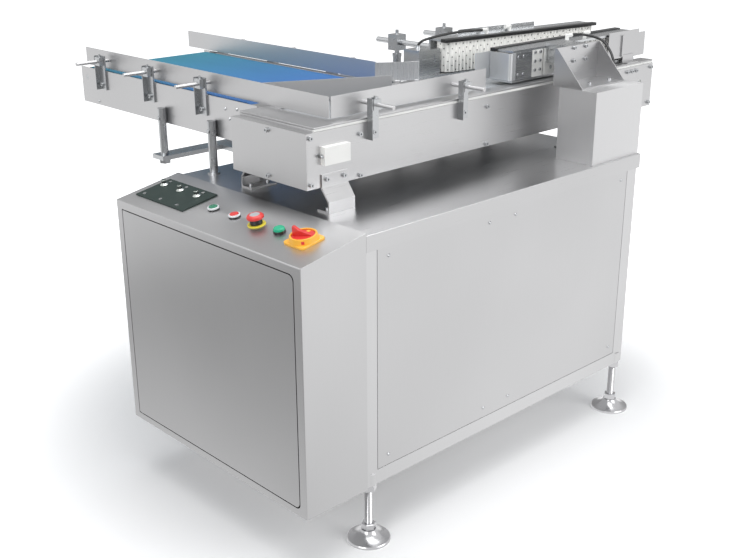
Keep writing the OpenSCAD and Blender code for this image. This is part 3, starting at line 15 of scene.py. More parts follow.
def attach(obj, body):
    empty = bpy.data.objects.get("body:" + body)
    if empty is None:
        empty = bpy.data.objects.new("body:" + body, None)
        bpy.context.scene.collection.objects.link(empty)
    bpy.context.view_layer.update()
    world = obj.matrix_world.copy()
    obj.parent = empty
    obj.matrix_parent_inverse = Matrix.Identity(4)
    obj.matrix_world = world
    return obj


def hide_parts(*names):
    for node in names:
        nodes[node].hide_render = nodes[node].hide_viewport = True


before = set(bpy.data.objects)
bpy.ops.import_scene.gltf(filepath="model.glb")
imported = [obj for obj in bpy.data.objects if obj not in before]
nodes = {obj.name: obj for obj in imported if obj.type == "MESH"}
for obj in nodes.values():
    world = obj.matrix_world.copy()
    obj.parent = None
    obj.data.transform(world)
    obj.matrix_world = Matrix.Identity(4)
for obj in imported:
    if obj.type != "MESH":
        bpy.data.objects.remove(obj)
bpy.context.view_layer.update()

# The studio. The camera stands in front of the console's corner, a little above the deck, where the
# photograph was taken: its place is in millimetres, and its focal length, in pixels, was solved from the
# cabinet's corners. The lamps and the floor are placed in the frame's metres.
FOOT_INSET = 22


def metres(x, y, z):
    """A place measured in millimetres from the cabinet's corner, in the frame's metres."""
    return Vector(((x - FOOT_INSET) / 1000, (y - FOOT_INSET) / 1000, z / 1000))


picture_width = 744
focal_pixels = 1083.93
camera_yaw = math.radians(46.46)
camera_pitch = math.radians(20.51)
camera_roll = math.radians(-0.25)
camera_place = (-1494.8, -1589.7, 1488.8)
sensor_width = 36.0
farthest_seen = 60

forward = Vector((math.cos(camera_pitch) * math.cos(camera_yaw),
                  math.cos(camera_pitch) * math.sin(camera_yaw), -math.sin(camera_pitch)))
level = forward.cross(Vector((0, 0, 1))).normalized()
upright = level.cross(forward)
camera_right = math.cos(camera_roll) * level + math.sin(camera_roll) * upright
camera_up = math.cos(camera_roll) * upright - math.sin(camera_roll) * level

camera_data = bpy.data.cameras.new("camera")
camera_data.sensor_width = sensor_width
camera_data.lens = focal_pixels / picture_width * sensor_width
camera_data.clip_end = farthest_seen
camera = bpy.data.objects.new("camera", camera_data)
bpy.context.scene.collection.objects.link(camera)
turn = Matrix((camera_right, camera_up, -forward)).transposed().to_4x4()
camera.matrix_world = Matrix.Translation(metres(*camera_place)) @ turn
bpy.context.scene.camera = camera
bpy.context.scene.view_settings.view_transform = "Standard"


def linear(colour):
    """An sRGB hex colour as the linear RGBA that Blender's shaders take."""
    parts = [int(colour[i:i + 2], 16) / 255 for i in (1, 3, 5)]
    return [p / 12.92 if p <= 0.04045 else ((p + 0.055) / 1.055) ** 2.4 for p in parts] + [1.0]


def node(tree, kind, links=None, **settings):
    """Adds one shader node. settings are its own values or, by socket name, its inputs' constants;
    links are pairs of an input and the output that feeds it."""
    new = tree.nodes.new(kind)
    for name, value in settings.items():
        if hasattr(new, name) and not name[0].isupper():
            setattr(new, name, value)
        else:
            new.inputs[name.replace("_", " ")].default_value = value
    for name, source in (links or {}).items():
        tree.links.new(source, new.inputs[name])
    return new


def blank_material(name):
    """A material with an empty tree and its output node."""
    made = bpy.data.materials.new(name)
    made.use_nodes = True
    made.node_tree.nodes.clear()
    return made, made.node_tree, made.node_tree.nodes.new("ShaderNodeOutputMaterial")


# The world lights the object softly. The camera sees it white, and the metal sees it white too, with a
# grey card behind the machine, which gives the deck its dark reflection.
white_paper = linear("#ffffff")
soft_sky = linear("#d9dce0")
sky_strength = 0.55
card_towards = (0.66, 0.69, 0.3)
card_grey, card_edge, card_middle = 0.42, 0.62, 0.97
world = bpy.data.worlds.new("studio")
world.use_nodes = True
world_tree = world.node_tree
world_tree.nodes.clear()
world_out = world_tree.nodes.new("ShaderNodeOutputWorld")
light_path = node(world_tree, "ShaderNodeLightPath")
direction = node(world_tree, "ShaderNodeTexCoord")
towards = node(world_tree, "ShaderNodeVectorMath", {0: direction.outputs["Generated"]},
               operation="DOT_PRODUCT")
towards.inputs[1].default_value = card_towards
card = node(world_tree, "ShaderNodeMapRange", {"Value": towards.outputs["Value"]},
            interpolation_type="SMOOTHSTEP", From_Min=card_edge, From_Max=card_middle, To_Min=1.0,
            To_Max=card_grey)
sky_light = node(world_tree, "ShaderNodeBackground", Color=soft_sky, Strength=sky_strength)
sky_metal = node(world_tree, "ShaderNodeBackground", {"Strength": card.outputs[0]}, Color=white_paper)
sky_seen = node(world_tree, "ShaderNodeBackground", Color=white_paper, Strength=1.0)
clear_ray = node(world_tree, "ShaderNodeMath", {0: light_path.outputs["Is Camera Ray"],
                                                 1: light_path.outputs["Is Transmission Ray"]},
                 operation="MAXIMUM")
metal_mix = node(world_tree, "ShaderNodeMixShader", {0: light_path.outputs["Is Glossy Ray"],
                                                      1: sky_light.outputs[0], 2: sky_metal.outputs[0]})
sky_mix = node(world_tree, "ShaderNodeMixShader", {0: clear_ray.outputs[0], 1: metal_mix.outputs[0],
                                                    2: sky_seen.outputs[0]})
world_tree.links.new(sky_mix.outputs[0], world_out.inputs[0])
bpy.context.scene.world = world


def soft_box(name, place, target, width, height, watts):
    """One large lamp of the studio, aimed at a point of the machine."""
    lamp = bpy.data.lights.new(name, "AREA")
    lamp.shape = "RECTANGLE"
    lamp.size, lamp.size_y = width, height
    lamp.energy = watts
    holder = bpy.data.objects.new(name, lamp)
    holder.location = place
    holder.rotation_euler = (Vector(target) - Vector(place)).to_track_quat("-Z", "Y").to_euler()
    bpy.context.scene.collection.objects.link(holder)


# Each lamp's name, place, the point it faces, width, height, and power in watts.
lamps = (("overhead_lamp", (0.3, 0.2, 3.6), (0.5, 0.4, 0.8), 3.2, 3.2, 88),
         ("front_lamp", (1.6, -3.0, 2.2), (0.5, 0.2, 0.6), 2.4, 1.8, 46),
         ("left_lamp", (-3.0, -0.6, 2.0), (0.0, 0.3, 0.7), 2.0, 1.6, 34))
for lamp_row in lamps:
    soft_box(*lamp_row)

# A pale floor that keeps the machine's shadow and fades to white away from it, through a painted glow that
# only the camera sees. The metal sees a painted reflection in it: for glossy rays the floor glows, lighter
# to the right and far behind the machine, darker to the left.
floor_size = 40
# The painted reflection's two tones, and where it turns from one to the other along X and along Y.
dark_left, light_right, left_tone, right_tone = -1.9, 0.7, 0.3, 1.2
dark_front, light_back, front_tone, back_tone = 1.4, 2.5, 0.3, 1.1
# A painted glow, seen only by the camera, whitens the floor: it is nil inside the first radius round the
# machine's middle, where the shadow stays whole, and full past the second, where the shadow is gone.
shadow_middle, shadow_whole, shadow_gone, painted_glow_far = (0.4, 0.33, 0), 0.7, 1.7, 0.9
bpy.ops.object.select_all(action="DESELECT")
bpy.ops.mesh.primitive_plane_add(size=floor_size)
floor = bpy.context.object
floor.name = "studio_floor"
paper, paper_tree, paper_out = blank_material("floor_paper")
floor_path = node(paper_tree, "ShaderNodeLightPath")
floor_place = node(paper_tree, "ShaderNodeTexCoord")
floor_axes = node(paper_tree, "ShaderNodeSeparateXYZ", {0: floor_place.outputs["Object"]})
# Painted reflection: how brightly the floor glows for glossy rays, place by place.
painted_reflection_tone = node(paper_tree, "ShaderNodeMapRange", {"Value": floor_axes.outputs["X"]},
                   interpolation_type="SMOOTHSTEP", From_Min=dark_left, From_Max=light_right,
                   To_Min=left_tone, To_Max=right_tone)
painted_reflection_back = node(paper_tree, "ShaderNodeMapRange", {"Value": floor_axes.outputs["Y"]},
                  interpolation_type="SMOOTHSTEP", From_Min=dark_front, From_Max=light_back,
                  To_Min=front_tone, To_Max=back_tone)
painted_reflection_tone = node(paper_tree, "ShaderNodeMath", {0: painted_reflection_tone.outputs[0], 1: painted_reflection_back.outputs[0]},
                   operation="MAXIMUM")
from_middle = node(paper_tree, "ShaderNodeVectorMath", {0: floor_place.outputs["Object"]},
                   operation="DISTANCE")
from_middle.inputs[1].default_value = shadow_middle
# The painted glow grows with the distance from the machine's middle.
painted_glow_fade = node(paper_tree, "ShaderNodeMapRange", {"Value": from_middle.outputs["Value"]},
                  interpolation_type="SMOOTHSTEP", From_Min=shadow_whole, From_Max=shadow_gone,
                  To_Min=0.0, To_Max=painted_glow_far)
floor_face = node(paper_tree, "ShaderNodeBsdfDiffuse", Color=linear("#fafafa"))
painted_floor_glow = node(paper_tree, "ShaderNodeEmission", {"Strength": painted_glow_fade.outputs[0]}, Color=white_paper)
floor_seen = node(paper_tree, "ShaderNodeAddShader", {0: floor_face.outputs[0], 1: painted_floor_glow.outputs[0]})
painted_reflection_glow = node(paper_tree, "ShaderNodeEmission", {"Strength": painted_reflection_tone.outputs[0]},
                      Color=white_paper)
floor_plain = node(paper_tree, "ShaderNodeMixShader", {0: floor_path.outputs["Is Camera Ray"],
                                                        1: floor_face.outputs[0], 2: floor_seen.outputs[0]})
floor_mix = node(paper_tree, "ShaderNodeMixShader", {0: floor_path.outputs["Is Glossy Ray"],
                                                      1: floor_plain.outputs[0],
                                                      2: painted_reflection_glow.outputs[0]})
paper_tree.links.new(floor_mix.outputs[0], paper_out.inputs[0])
floor.data.materials.append(paper)

# Two black polyurethane hoses, 7 mm across, run from the push-in fittings on the gripper covers to
# glands on the drive housing and on the stand. They are stiff enough to hold a low arch.
hose_width = 7
hose_roundness = 8
route_steps = 5
hose_black = "#17181a"


def add_grain(tree, scale, stretch, detail, seed):
    """Noise on the object's own coordinates, stretched along one axis: the marks of a finish."""
    place = tree.nodes.new("ShaderNodeTexCoord")
    mapped = node(tree, "ShaderNodeMapping", {"Vector": place.outputs["Object"]}, Scale=stretch,
                  Location=(seed, seed, seed))
    return node(tree, "ShaderNodeTexNoise", {"Vector": mapped.outputs[0]}, Scale=scale, Detail=detail)


def spread(tree, source, low, high):
    """A noise's usual values, the middle half of its scale, spread between two limits."""
    usual_low, usual_high = 0.25, 0.75
    return node(tree, "ShaderNodeMapRange", {"Value": source}, From_Min=usual_low, From_Max=usual_high,
                To_Min=low, To_Max=high)


def polyurethane(name, colour, roughness):
    """Extruded hose: dark and even, with a soft sheen and the faintest waviness along it."""
    waves_per_metre = 90
    made, tree, out = blank_material(name)
    wave = add_grain(tree, waves_per_metre, (1, 1, 1), 2, 3)
    bump = node(tree, "ShaderNodeBump", {"Height": wave.outputs["Fac"]}, Strength=0.08, Distance=0.0004)
    rough = spread(tree, wave.outputs["Fac"], roughness - 0.05, roughness + 0.07)
    face = node(tree, "ShaderNodeBsdfPrincipled", {"Normal": bump.outputs[0], "Roughness": rough.outputs[0]},
                Base_Color=linear(colour), IOR=1.5)
    tree.links.new(face.outputs[0], out.inputs[0])
    return made


hose_material = polyurethane("hose_polyurethane", hose_black, 0.34)


def smooth_route(points, steps):
    """The same rounded curve through a hose's points that the CAD source draws."""
    route = []
    for i in range(len(points) - 1):
        a, b = Vector(points[max(i - 1, 0)]), Vector(points[i])
        c, d = Vector(points[i + 1]), Vector(points[min(i + 2, len(points) - 1)])
        for s in range(steps):
            t = s / steps
            route.append((2 * b + (c - a) * t + (2 * a - 5 * b + 4 * c - d) * t * t
                          + (3 * b - a - 3 * c + d) * t ** 3) / 2)
    return route + [Vector(points[-1])]


def air_hose(name, points, replaced, body):
    """One hose as a round tube on an open spline, from its fitting to its gland."""
    route = [metres(*p) for p in smooth_route(points, route_steps)]
    line = bpy.data.curves.new(name, "CURVE")
    line.dimensions = "3D"
    line.bevel_depth = hose_width / 2000
    line.bevel_resolution = hose_roundness
    line.use_fill_caps = True
    spline = line.splines.new("POLY")
    spline.points.add(len(route) - 1)
    for point, place in zip(spline.points, route):
        point.co = (*place, 1)
    spline.use_smooth = True
    hose = bpy.data.objects.new(name, line)
    bpy.context.scene.collection.objects.link(hose)
    line.materials.append(hose_material)
    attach(hose, body)
    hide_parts(replaced)


rear_route = [(861, 437, 1076), (845, 438, 1077), (800, 446, 1078), (745, 456, 1076), (690, 466, 1070),
              (658, 474, 1063), (648, 480, 1052)]
front_route = [(1028, 252, 1065), (1042, 250, 1065), (1058, 236, 1064), (1064, 205, 1061), (1058, 165, 1052),
               (1040, 125, 1026), (1024, 102, 996), (1020, 96, 970)]
air_hose("rear_air_hose", rear_route, "rear_hose", "rear_unit")
air_hose("front_air_hose", front_route, "front_hose", "root")


# A folded and welded box of 2 mm stainless steel sheet. Its faces are ground in one direction with a
# fine belt, so each shows straight hair lines and a soft, drawn-out reflection.
fold_radius = 2.2
grain_up = (1, 1, 0.012)
grain_across = (0.012, 1, 1)


def ground_steel(name, colour, grain, roughness=0.34, shade=0.05):
    """Stainless steel sheet ground with a belt: hair lines along the grain, faintly uneven tone."""
    hairs_per_metre, clouds_per_metre, hair_shade = 820, 1.7, 0.018
    made, tree, out = blank_material(name)
    lines = add_grain(tree, hairs_per_metre, grain, 2, 0)
    cloud = add_grain(tree, clouds_per_metre, (1, 1, 1), 2, 7)
    tone = spread(tree, cloud.outputs["Fac"], 1 - shade, 1 + shade)
    fine = spread(tree, lines.outputs["Fac"], 1 - hair_shade, 1 + hair_shade)
    both = node(tree, "ShaderNodeMath", {0: tone.outputs[0], 1: fine.outputs[0]}, operation="MULTIPLY")
    paint = node(tree, "ShaderNodeVectorMath", {0: both.outputs[0]}, operation="MULTIPLY")
    paint.inputs[1].default_value = linear(colour)[:3]
    rough = spread(tree, lines.outputs["Fac"], roughness - 0.03, roughness + 0.04)
    bump = node(tree, "ShaderNodeBump", {"Height": lines.outputs["Fac"]}, Strength=0.025, Distance=0.0001)
    face = node(tree, "ShaderNodeBsdfPrincipled",
                {"Base Color": paint.outputs[0], "Roughness": rough.outputs[0], "Normal": bump.outputs[0]},
                Metallic=1.0, Anisotropic=0.45)
    tree.links.new(face.outputs[0], out.inputs[0])
    return made


def dress(names, material):
    """Gives CAD nodes their finish."""
    for name in names:
        for slot in nodes[name].material_slots:
            slot.material = material


def pick_edges(piece, test):
    """Selects the edges whose two ends, in millimetres, pass the test."""
    bpy.ops.mesh.select_all(action="DESELECT")
    drawn = bmesh.from_edit_mesh(piece.data)
    for edge in drawn.edges:
        if test(*(v.co * 1000 for v in edge.verts)):
            edge.select = True
    drawn.select_flush_mode()
    bmesh.update_edit_mesh(piece.data)


def belongs(piece, body, *replaced, slot=None):
    """The piece rides on its body and stands for these CAD nodes. slot is not used."""
    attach(piece, body)
    if replaced:
        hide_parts(*replaced)
    return piece


def eased(name, material, width=0.8, body="root", folds=None):
    """A sheet-metal piece as it leaves the press brake: the CAD node's shape with its edges eased by
    a bevel that catches the light, standing for the node itself. folds picks the edges that are bent
    round a wider radius."""
    source = nodes[name]
    bpy.ops.object.select_all(action="DESELECT")
    piece = source.copy()
    piece.data = source.data.copy()
    piece.name = name + "_eased"
    bpy.context.scene.collection.objects.link(piece)
    place = source.matrix_world.copy()
    piece.parent = None
    piece.matrix_world = place
    piece.select_set(True)
    bpy.context.view_layer.objects.active = piece
    bpy.ops.object.transform_apply(location=True, rotation=True, scale=True)
    bpy.ops.object.mode_set(mode="EDIT")
    bpy.ops.mesh.select_all(action="SELECT")
    bpy.ops.mesh.remove_doubles(threshold=0.00001)
    bpy.ops.mesh.dissolve_limited(angle_limit=math.radians(1))
    bpy.ops.mesh.normals_make_consistent(inside=False)
    if folds:
        bpy.context.tool_settings.mesh_select_mode = (False, True, False)
        pick_edges(piece, folds)
        bpy.ops.mesh.bevel(offset=fold_radius / 1000, segments=3, affect="EDGES")
    bpy.ops.object.mode_set(mode="OBJECT")
    ease = piece.modifiers.new("ease", "BEVEL")
    ease.width = width / 1000
    ease.segments = 2
    ease.limit_method = "ANGLE"
    ease.angle_limit = math.radians(35)
    bpy.ops.object.modifier_apply(modifier="ease")
    bpy.ops.object.shade_smooth_by_angle(angle=math.radians(30))
    flatten = piece.modifiers.new("flatten", "WEIGHTED_NORMAL")
    flatten.keep_sharp = True
    bpy.ops.object.modifier_apply(modifier="flatten")
    piece.data.materials.clear()
    piece.data.materials.append(material)
    return belongs(piece, body, name)


# One ground steel in lit and shaded copies: each part's base colour is set lighter or darker as painted
# light and shade for how the light falls on it.
cabinet_steel = ground_steel("ground_steel_cabinet", "#c9c9ca", grain_up)
panel_steel = ground_steel("ground_steel_panels", "#c2c2c3", grain_up)
bracket_steel = ground_steel("ground_steel_brackets", "#c2c2c3", grain_across, 0.3)
eased("cabinet_shell", cabinet_steel)

# Four stainless levelling feet: a turned pad, a hexagon to turn it by, a threaded rod and a lock nut.
# Their polished steel mirrors the floor.
deck_length, deck_depth = 1030, 700
foot_pad, foot_rod, rod_top = 52.5, 10.0, 210
thread_pitch, thread_deep, thread_low, nut_low = 2.5, 0.9, 46.0, 134.0


def bare_mesh(name):
    """The piece just added, named, selected all over and open in edit mode."""
    piece = bpy.context.object
    piece.name = name
    bpy.ops.object.transform_apply(location=True, rotation=True, scale=True)
    bpy.ops.object.mode_set(mode="EDIT")
    bpy.ops.mesh.select_all(action="SELECT")
    return piece


def close_up(piece, material, smooth=30):
    """Leaves edit mode with the faces outwards, and gives the piece its finish."""
    bpy.ops.mesh.select_all(action="SELECT")
    bpy.ops.mesh.normals_make_consistent(inside=False)
    bpy.ops.object.mode_set(mode="OBJECT")
    bpy.ops.object.shade_smooth_by_angle(angle=math.radians(smooth))
    piece.data.materials.append(material)
    return piece


def turned(name, rings, material, facets=40, smooth=30):
    """A piece turned about +Z: a filled circle drawn up and widened, ring by ring, in millimetres."""
    bpy.ops.object.select_all(action="DESELECT")
    bpy.ops.mesh.primitive_circle_add(vertices=facets, radius=rings[0][0] / 1000, fill_type="NGON",
                                      location=(0, 0, rings[0][1] / 1000))
    piece = bare_mesh(name)
    for (r_a, z_a), (r_b, z_b) in zip(rings, rings[1:]):
        bpy.ops.mesh.extrude_region_move(TRANSFORM_OT_translate={"value": (0, 0, (z_b - z_a) / 1000)})
        bpy.ops.transform.resize(value=(r_b / r_a, r_b / r_a, 1), center_override=(0, 0, 0))
    return close_up(piece, material, smooth)


def seat(piece, place):
    """Puts a piece modelled about the origin in its place, in its mesh."""
    piece.data.transform(place)
    if place.determinant() < 0:
        piece.data.flip_normals()
    return piece


def twin(piece, name):
    """A copy of a piece with a mesh of its own."""
    other = piece.copy()
    other.data = piece.data.copy()
    other.name = name
    bpy.context.scene.collection.objects.link(other)
    return other


def polished(name, colour, roughness=0.16):
    """Chromed or polished steel: bright, with faint turning marks and smears."""
    smears_per_metre = 55
    made, tree, out = blank_material(name)
    smear = add_grain(tree, smears_per_metre, (1, 1, 1), 3, 5)
    rough = spread(tree, smear.outputs["Fac"], roughness * 0.93, roughness * 1.1)
    face = node(tree, "ShaderNodeBsdfPrincipled", {"Roughness": rough.outputs[0]},
                Base_Color=linear(colour), Metallic=1.0)
    tree.links.new(face.outputs[0], out.inputs[0])
    return made


foot_steel = polished("polished_foot_steel", "#bdbdbf", 0.2)
foot_places = [(x, y) for x in (FOOT_INSET, deck_length - FOOT_INSET)
               for y in (FOOT_INSET, deck_depth - FOOT_INSET)]
thread = []
step = thread_low
while step < nut_low:
    thread += [(foot_rod, step), (foot_rod - thread_deep, step + thread_pitch / 2)]
    step += thread_pitch
# Each turned piece is drawn by rings of a radius and a height.
foot_rings = [(foot_pad, 0), (foot_pad, 4.5), (foot_pad - 1.5, 6.5), (46, 8.0), (34, 12.5), (25, 19.0),
              (19.5, 25.0), (18, 28.0), (foot_rod, 28.1)] + thread
foot_rings += [(foot_rod, nut_low + 1), (foot_rod, rod_top)]
foot = turned("foot_1", foot_rings, foot_steel, 48)
hexagon = turned("foot_hexagon_1", [(16, 28), (17.6, 29), (17.6, 43), (16, 44)], foot_steel, 6, 20)
nut = turned("foot_nut_1", [(18, nut_low), (19.8, nut_low + 1), (19.8, nut_low + 15), (18, nut_low + 16)],
             foot_steel, 6, 20)
# The copies come first, and the modelled foot itself goes to the first place at the end.
for i, (x, y) in enumerate(foot_places[1:] + foot_places[:1]):
    last = i == len(foot_places) - 1
    for model, label in ((foot, "foot"), (hexagon, "foot_hexagon"), (nut, "foot_nut")):
        piece = model if last else twin(model, "%s_%d" % (label, i + 2))
        belongs(seat(piece, Matrix.Translation(metres(x, y, 0))), "root", "levelling_feet")

# The folded sheet console in front of the cabinet, with a hinged door and a sloping top that carries
# the controls. Each control stands square to the slope.
console_left, console_low, console_high, console_length = -184.3, 742.0, 776.0, 184.0
slope_angle = math.atan((console_high - console_low) / console_length)


def on_slope(x, y, up=0.0, spin=0.0):
    """A place on the console's slope, its z axis square to the sheet."""
    z = console_low + (x - console_left) * math.tan(slope_angle)
    return (Matrix.Translation(metres(x, y, z)) @ Matrix.Rotation(-slope_angle, 4, "Y")
            @ Matrix.Rotation(spin, 4, "Z") @ Matrix.Translation((0, 0, up / 1000)))


def moulded(name, colour, roughness=0.38, coat=0.15, grain=0.06):
    """Moulded plastic: even colour with a fine pebbled skin and a little gloss."""
    pebbles_per_metre, clouds_per_metre = 900, 18
    made, tree, out = blank_material(name)
    skin = add_grain(tree, pebbles_per_metre, (1, 1, 1), 2, 2)
    cloud = add_grain(tree, clouds_per_metre, (1, 1, 1), 1, 9)
    tone = spread(tree, cloud.outputs["Fac"], 0.96, 1.04)
    paint = node(tree, "ShaderNodeVectorMath", {0: tone.outputs[0]}, operation="MULTIPLY")
    paint.inputs[1].default_value = linear(colour)[:3]
    bump = node(tree, "ShaderNodeBump", {"Height": skin.outputs["Fac"]}, Strength=grain, Distance=0.0003)
    rough = spread(tree, cloud.outputs["Fac"], roughness - 0.04, roughness + 0.06)
    face = node(tree, "ShaderNodeBsdfPrincipled",
                {"Base Color": paint.outputs[0], "Normal": bump.outputs[0], "Roughness": rough.outputs[0]},
                IOR=1.48, Coat_Weight=coat, Coat_Roughness=0.12)
    tree.links.new(face.outputs[0], out.inputs[0])
    return made


def paint_faces(piece, material, test):
    """Gives the faces whose centre passes the test, in millimetres before seating, a second finish."""
    piece.data.materials.append(material)
    index = len(piece.data.materials) - 1
    for face in piece.data.polygons:
        x, y, z = (c * 1000 for c in face.center)
        if test(x, y, z):
            face.material_index = index


# The door, the console's front face, is a darker copy of the same steel: painted shade.
console_steel = ground_steel("ground_steel_console", "#c2c2c3", grain_up)
door_steel = ground_steel("ground_steel_door", "#bdbdbe", grain_up)
# The console's folded edges lie past these lines, in the frame's millimetres.
console_front, console_near, console_far = -206.2, -21.9, 677.9
eased("console_box", console_steel, folds=lambda a, b: max(a.x, b.x) < console_front and (
    min(a.z, b.z) > console_low - 0.2 or max(a.y, b.y) < console_near or min(a.y, b.y) > console_far))
eased("console_door", door_steel, body="console_door")

control_row = console_left + 90
switch_y, lamp_y, estop_y, stop_y, start_y = 92.0, 175.0, 256.0, 337.0, 418.0
black_plastic = moulded("black_plastic", "#17181a", 0.32)
green_plastic = moulded("green_plastic", "#1c7a5a", 0.3, 0.3)
red_plastic = moulded("red_plastic", "#d6322e", 0.3, 0.3)
yellow_plastic = moulded("yellow_plastic", "#f5b63a", 0.34, 0.25)
grey_plastic = moulded("grey_plastic", "#a8acae", 0.4)
bright_yellow = moulded("bright_yellow_ring", "#efe048", 0.4, 0.1)
bezel_plastic = moulded("satin_bezel_plastic", "#dde0e2", 0.28, 0.25)
chrome = polished("chrome", "#c9cbcc")

# Push buttons: a threaded neck and nut under the sheet, a black base, a bright bezel, a flat cap.
neck_rings = [(11, -42), (11, -7.0), (15, -7.0), (15, -2.0), (11, -2.0), (11, 0.02)]
bezel_rings = neck_rings + [(14.2, 0.05), (14.2, 3.2), (14.2, 5.6), (13.6, 6.6), (12.8, 7.0),
                            (11.2, 7.0), (10.75, 6.6), (10.75, 1.2)]
cap_rings = [(10.5, 3.8), (10.5, 7.5), (10.1, 8.2), (9.3, 8.5)]
for label, y, colour in (("start", start_y, green_plastic), ("stop", stop_y, red_plastic)):
    bezel = turned(label + "_bezel", bezel_rings, black_plastic)
    paint_faces(bezel, bezel_plastic, lambda x, y, z: z > 3.3)
    belongs(seat(bezel, on_slope(control_row, y)), "root", "button_bodies")
    cap = turned(label + "_cap", cap_rings, colour)
    belongs(seat(cap, on_slope(control_row, y)), label + "_button", label + "_button_cap")

# The emergency stop: a yellow ring and black neck, and a red mushroom with a grey disc.
ring_top_face, neck_radius = 2.0, 14.5
guard_rings = neck_rings + [(21.2, 0.05), (21.2, 1.4), (20.7, 1.95), (neck_radius, ring_top_face),
                            (neck_radius, 15.4), (13.9, 16), (9.3, 16), (9.3, -4)]
stop_base = turned("estop_neck", guard_rings, black_plastic, 48)
paint_faces(stop_base, bright_yellow,
            lambda x, y, z: 0 <= z < ring_top_face and math.hypot(x, y) > neck_radius)
belongs(seat(stop_base, on_slope(control_row, estop_y)), "root", "estop_base")
head_rings = [(9, 2), (9, 20.6), (14.8, 20.6), (14.8, 15.7), (18.9, 15.5), (19.9, 16.4), (20, 18.4),
              (19.7, 20.4), (18.7, 22.1), (16.9, 23.5), (14.6, 24.5), (12.3, 25.0), (11.7, 24.5),
              (11.5, 23.9)]
stop_head = turned("estop_mushroom", head_rings, red_plastic, 48, 50)
paint_faces(stop_head, grey_plastic, lambda x, y, z: z > 23.8 and math.hypot(x, y) < 11.8)
belongs(seat(stop_head, on_slope(control_row, estop_y)), "estop", "estop_head")

# The lamp: a clear green acrylic dome on a black base, faintly uneven from its mould.
ripples_per_metre = 240.0
lamp_green, lamp_tree, lamp_out = blank_material("lamp_green_acrylic")
lamp_ripple = node(lamp_tree, "ShaderNodeTexNoise", Scale=ripples_per_metre)
lamp_bump = node(lamp_tree, "ShaderNodeBump", {"Height": lamp_ripple.outputs["Fac"]}, Strength=0.1,
                 Distance=0.0003)
lamp_face = node(lamp_tree, "ShaderNodeBsdfPrincipled", {"Normal": lamp_bump.outputs[0]},
                 Base_Color=linear("#25b489"), Roughness=0.16, Transmission_Weight=0.2, IOR=1.49,
                 Emission_Color=linear("#2fd0a0"), Emission_Strength=0.08)
lamp_tree.links.new(lamp_face.outputs[0], lamp_out.inputs[0])
lamp_rings = neck_rings + [(14.2, 0.05), (14.2, 5.2), (13.8, 6.0), (13.3, 6.0), (13.1, 9.2),
                           (12.3, 11.3), (10.6, 12.6), (7.5, 13)]
lamp = turned("power_lamp_dome", lamp_rings, black_plastic)
paint_faces(lamp, lamp_green, lambda x, y, z: z > 6.05 and math.hypot(x, y) < 13.4)
belongs(seat(lamp, on_slope(control_row, lamp_y)), "root", "power_lamp")

# The main switch: a square yellow plate with a tapered ring, and a red dial with a finger grip.
switch_side, switch_thick, switch_corner, ring_top, dial_radius = 67.0, 5.0, 8.0, 17.0, 26.2


def block(name, low, high, material, ease=0.0, segments=2, smooth=30):
    """A block between two corners, in millimetres, with all its edges eased when ease is given."""
    bpy.ops.object.select_all(action="DESELECT")
    bpy.ops.mesh.primitive_cube_add(size=1, location=[(a + b) / 2000 for a, b in zip(low, high)],
                                    scale=[(b - a) / 1000 for a, b in zip(low, high)])
    piece = bare_mesh(name)
    if ease:
        bpy.ops.mesh.bevel(offset=ease / 1000, segments=segments, affect="EDGES")
    return close_up(piece, material, smooth)


half, plate_ease = switch_side / 2, 0.9
plate = block("switch_base", (-half, -half, 0), (half, half, switch_thick), yellow_plastic)
bpy.ops.object.mode_set(mode="EDIT")
bpy.context.tool_settings.mesh_select_mode = (False, True, False)
pick_edges(plate, lambda a, b: abs(a.z - b.z) > 1)
bpy.ops.mesh.bevel(offset=switch_corner / 1000, segments=6, affect="EDGES")
pick_edges(plate, lambda a, b: a.z > switch_thick - 0.1 and b.z > switch_thick - 0.1)
bpy.ops.mesh.bevel(offset=plate_ease / 1000, segments=2, affect="EDGES")
bpy.ops.object.mode_set(mode="OBJECT")
bpy.ops.object.shade_smooth_by_angle(angle=math.radians(30))
belongs(seat(plate, on_slope(control_row, switch_y)), "root", "switch_plate")
ring_rings = neck_rings[:-1] + [(11, 1), (33.2, 1.2), (33.2, switch_thick), (32.6, 8), (30.6, 16.4),
                                (29.9, ring_top), (27.2, ring_top), (26.5, 16.4), (26.5, 5.1)]
ring = turned("switch_ring", ring_rings, yellow_plastic, 56)
belongs(seat(ring, on_slope(control_row, switch_y)), "root", "switch_plate")
# A red mark leans against the ring's taper, on the side that faces the operator.
mark_turn, mark_lean, mark_out = math.radians(-44), math.radians(-14), 33.9
mark = block("switch_ring_mark", (-3.5, -1.2, 7), (3.5, 0.7, 13.5), red_plastic, 0.4)
mark_place = (on_slope(control_row, switch_y, 0, mark_turn) @ Matrix.Translation((0, -mark_out / 1000, 0))
              @ Matrix.Rotation(mark_lean, 4, "X"))
belongs(seat(mark, mark_place), "root", slot="button_red")

dial_up = switch_thick + 0.35
dial_rings = [(4, dial_up - 20), (4, dial_up), (dial_radius, dial_up), (dial_radius, dial_up + 8.2),
              (dial_radius - 0.8, dial_up + 9)]
dial = turned("switch_dial", dial_rings, red_plastic, 56)
belongs(seat(dial, on_slope(control_row, switch_y)), "main_switch", "switch_handle")
